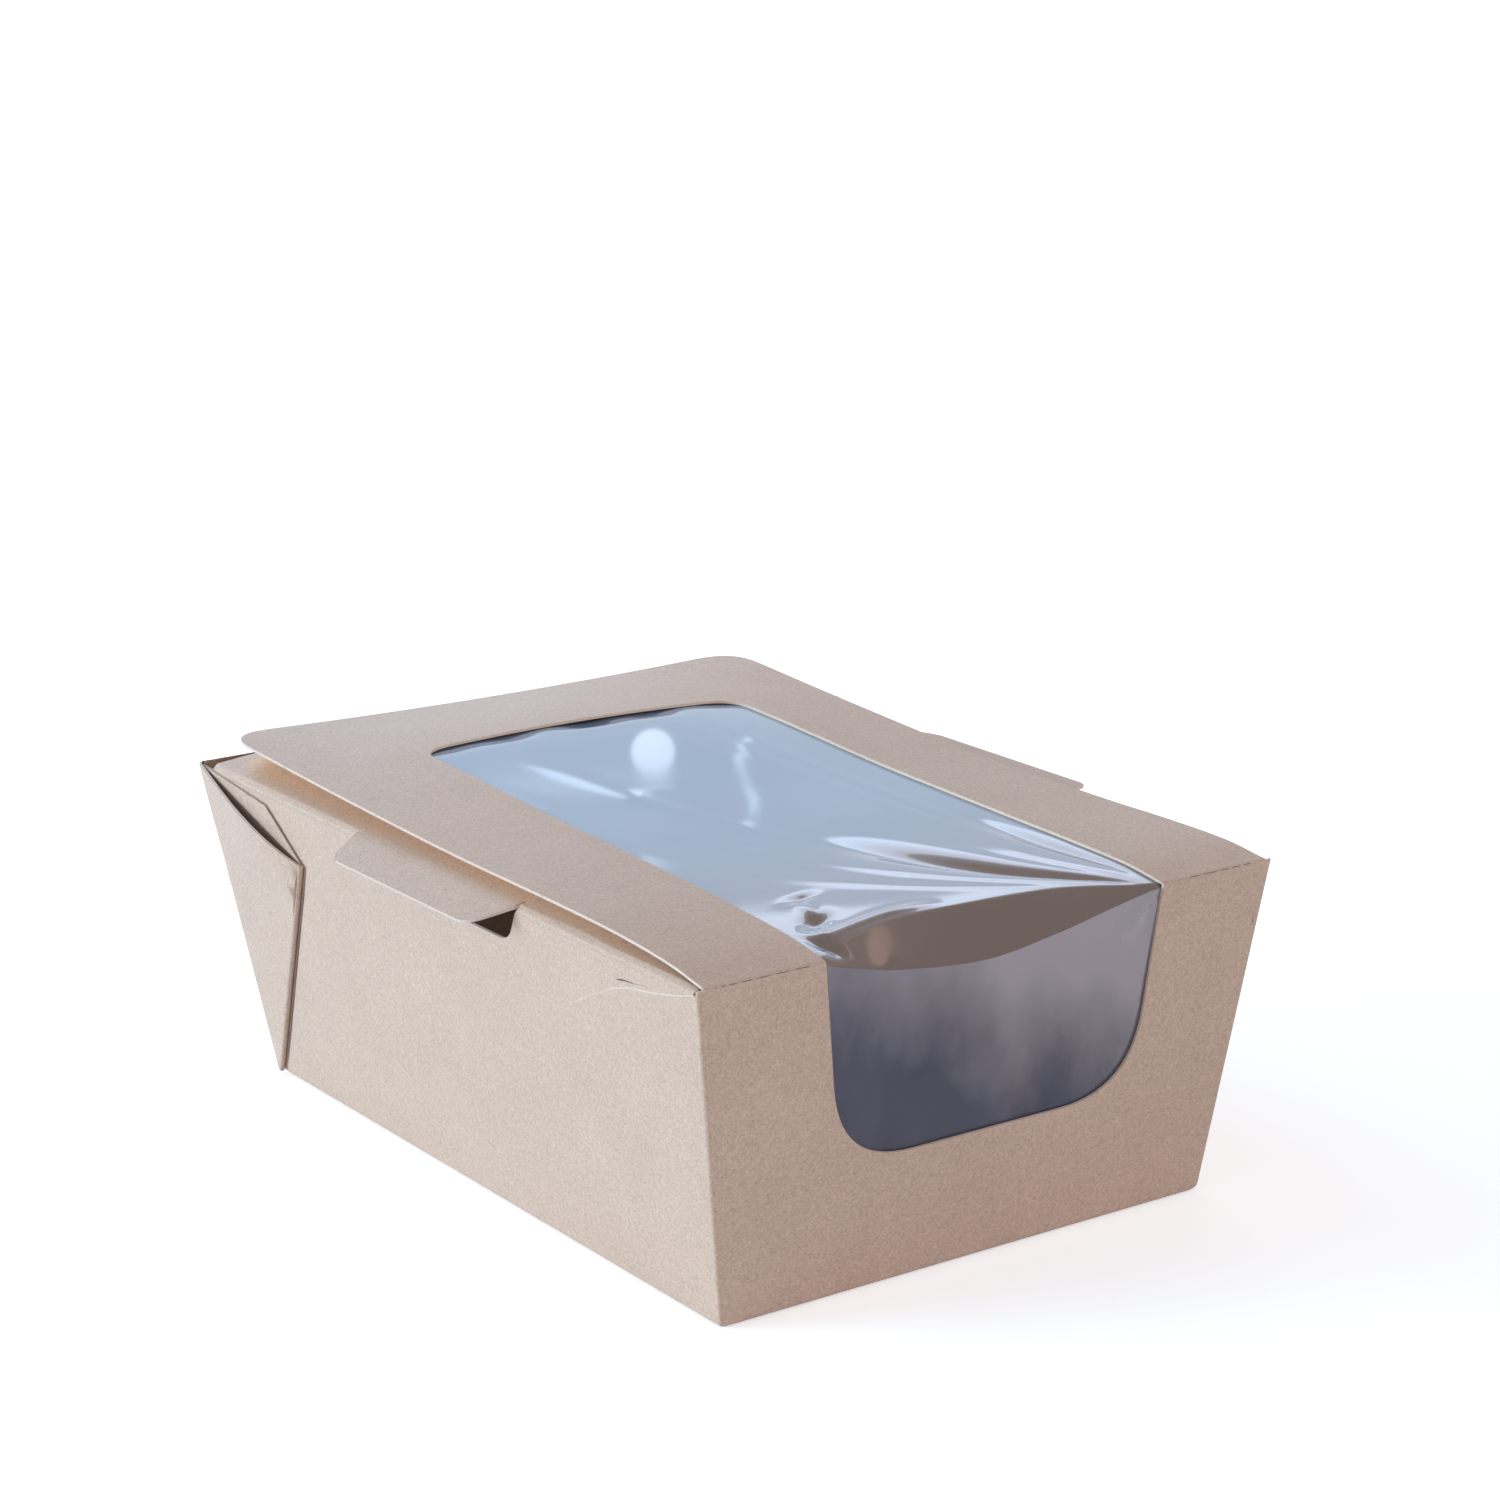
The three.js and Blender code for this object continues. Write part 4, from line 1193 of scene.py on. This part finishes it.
def lid_nicks():
    bm = bmesh.new()
    for side, y in NICKS:
        x = side * lid_half_width
        z = lid_top(x, y) - BOARD / 2
        path = [(x + side * out, y + step, z) for out, step in NICK_SHAPE]
        ribbon(bm, path, [(0, 0, 1)] * 4, [NICK_WIDTH] * 4, BOARD * 0.62)
    return into_object("lid_nicks", bm, (cut_edge,))


nicks = lid_nicks()
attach(nicks, "lid")

tray = build_tray()
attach(tray, "tray")
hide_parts("tray")
for web_side in (LEFT, RIGHT):
    for web in rear_web(web_side) + [front_web(web_side)]:
        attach(web, "tray")
lid = build_lid()
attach(lid, "lid")
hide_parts("lid")
film = build_film()
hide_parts("lid_window_film", "front_window_film")
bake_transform(film)

# Camera

camera_data = bpy.data.cameras.new("camera")
camera_data.sensor_fit = "HORIZONTAL"
camera_data.sensor_width = SENSOR
camera_data.lens = FOCAL_PIXELS * SENSOR / PHOTO
camera_data.clip_start = 0.01
camera_data.clip_end = 20
camera = into_scene("camera", camera_data)
back = Vector((math.sin(CAMERA_AZIMUTH) * math.cos(CAMERA_ELEVATION),
               -math.cos(CAMERA_AZIMUTH) * math.cos(CAMERA_ELEVATION), math.sin(CAMERA_ELEVATION)))
level = Vector((0, 0, 1)).cross(back).normalized()
upright = Matrix((level, back.cross(level), back)).transposed()
rolled = upright @ Matrix.Rotation(CAMERA_ROLL, 3, "Z")
camera.matrix_world = Matrix.Translation(CAMERA_PLACE) @ rolled.to_4x4()
bpy.context.scene.camera = camera

# Light and floor


def sun(name, towards, strength, colour, softness):
    """A soft distant light; strength 1 lights a surface that faces it as brightly as it is coloured."""
    data = bpy.data.lights.new(name, "SUN")
    data.energy = strength * math.pi
    data.color = colour
    data.angle = softness
    light = into_scene(name, data)
    light.rotation_euler = Vector(towards).to_track_quat("Z", "Y").to_euler()
    light.visible_glossy = False


sun("key_left", (-0.84, 0.45, 0.06), 1.79, (0.655, 0.92, 1.17), math.radians(35))
sun("front_fill", (0.35, -0.85, 0.22), 0.36, (0.92, 0.98, 1.18), math.radians(60))


def panel(name, place, target, size, radiance, colour, mirrored=True):
    """A lit panel; radiance 1 looks white in a mirror."""
    data = bpy.data.lights.new(name, "AREA")
    data.shape = "RECTANGLE"
    data.size, data.size_y = size
    data.energy = radiance * math.pi * (size[0] * size[1])
    data.color = colour
    light = into_scene(name, data)
    light.location = place
    light.rotation_euler = (Vector(target) - Vector(place)).to_track_quat("-Z", "Y").to_euler()
    light.visible_glossy = mirrored


panel("rear_top", (-0.04, 0.22, 0.24), (0, 0.04, 0.06), (0.16, 0.16), 4.3, (0.42, 0.74, 1.18), mirrored=False)
panel("rear_sky", (0.60, 0.85, 0.66), (0, 0, 0.06), (0.9, 0.30), 1.2, (0.92, 0.96, 1.0))

# Small lamps that show in the film, each placed and sized so that the film mirrors it at
# a pixel of the photograph, so many pixels wide and high
film_mesh = film.data
film_tree = BVHTree.FromPolygons([v.co for v in film_mesh.vertices], [p.vertices for p in film_mesh.polygons])
LAMP_DISTANCE = 0.25
SCREEN_DISTANCE = 0.06
LAMP_STEPS = 32


def mirrored_ray(px, py):
    """Where a pixel's ray meets the film and where it goes from there."""
    origin = camera.matrix_world.translation
    local = Vector(((px - PHOTO / 2) / FOCAL_PIXELS, (PHOTO / 2 - py) / FOCAL_PIXELS, -1))
    ray = (camera.matrix_world.to_3x3() @ local).normalized()
    place, _, index, _ = film_tree.ray_cast(origin, ray)
    corners = film_mesh.polygons[index].vertices
    weights = poly_3d_calc([film_mesh.vertices[i].co for i in corners], place)
    normal = Vector()
    for i, weight in zip(corners, weights):
        normal += film_mesh.vertices[i].normal * weight
    return place, ray.reflect(normal.normalized())


def mirrored_lamp(name, px, py, wide, high, radiance, colour, distance=LAMP_DISTANCE):
    """A lamp that only mirrors show, cut to the shape that mirrors as an upright ellipse."""
    place, away = mirrored_ray(px, py)
    centre = place + away * distance
    outline = []
    for k in range(LAMP_STEPS):
        angle = 2 * math.pi * k / LAMP_STEPS
        start, line = mirrored_ray(px + wide / 2 * math.cos(angle), py + high / 2 * math.sin(angle))
        outline.append(start + line * ((centre - start).dot(away) / line.dot(away)))
    mesh = bpy.data.meshes.new(name)
    mesh.from_pydata(outline, [], [tuple(range(LAMP_STEPS))])
    material, _ = new_material(name)
    dress(material, Base_Color=(0, 0, 0, 1), Specular_IOR_Level=0.0, Emission_Color=(*colour, 1),
          Emission_Strength=radiance)
    mesh.materials.append(material)
    lamp = into_scene(name, mesh)
    lamp.visible_camera = False
    lamp.visible_diffuse = False
    lamp.visible_shadow = False
    lamp.visible_transmission = False


mirrored_lamp("round_lamp", 653, 752, 44, 46, 2.2, (0.98, 0.98, 0.98))
# As bright as the studio's white, it hides the round lamp from the folds in front of it
mirrored_lamp("round_lamp_screen", 668, 822, 90, 72, 1.0, (1.0, 1.0, 1.0), SCREEN_DISTANCE)
mirrored_lamp("tall_lamp", 741, 765, 13, 46, 1.7, (0.95, 0.98, 1.0))
mirrored_lamp("warm_lamp", 879, 945, 24, 42, 1.9, (1.0, 0.90, 0.84))

STUDIO_STRENGTH = 0.42
FLOOR_GLOW = 0.45
FLOOR_HALF = 9.0


def seen_straight(tree):
    """1 for rays from the camera, off mirrors and through film, and 0 for those that light."""
    rays = add(tree, "ShaderNodeLightPath").outputs
    mirrored = calc(tree, "MAXIMUM", rays["Is Camera Ray"], rays["Is Glossy Ray"])
    return calc(tree, "MAXIMUM", mirrored, rays["Is Transmission Ray"])


# The world and the floor look white, but light the box less than they look
world = bpy.data.worlds.new("studio")
world.use_nodes = True
bpy.context.scene.world = world
studio = world.node_tree
lit = studio.nodes["Background"]
feed(studio, (1.0, 0.975, 0.975, 1), lit.inputs["Color"])
feed(studio, STUDIO_STRENGTH, lit.inputs["Strength"])
white = add(studio, "ShaderNodeBackground", Color=(1, 1, 1, 1), Strength=1.0)
chooser = add(studio, "ShaderNodeMixShader", Fac=seen_straight(studio))
feed(studio, lit.outputs[0], chooser.inputs[1])
feed(studio, white.outputs[0], chooser.inputs[2])
feed(studio, chooser.outputs[0], studio.nodes["World Output"].inputs["Surface"])

floor_mesh = bpy.data.meshes.new("floor")
floor_corners = [(x * FLOOR_HALF, y * FLOOR_HALF, 0) for x, y in ((-1, -1), (1, -1), (1, 1), (-1, 1))]
floor_mesh.from_pydata(floor_corners, [], [(0, 1, 2, 3)])
floor_look, floor_tree = new_material("floor")
floor_glow = calc(floor_tree, "MULTIPLY", seen_straight(floor_tree), FLOOR_GLOW)
dress(floor_look, Base_Color=(0.93, 0.93, 0.93, 1), Roughness=0.9, Specular_IOR_Level=0.0,
      Emission_Color=(1, 1, 1, 1), Emission_Strength=floor_glow)
floor_mesh.materials.append(floor_look)
floor = into_scene("floor", floor_mesh)

bpy.context.scene.view_settings.view_transform = "Standard"
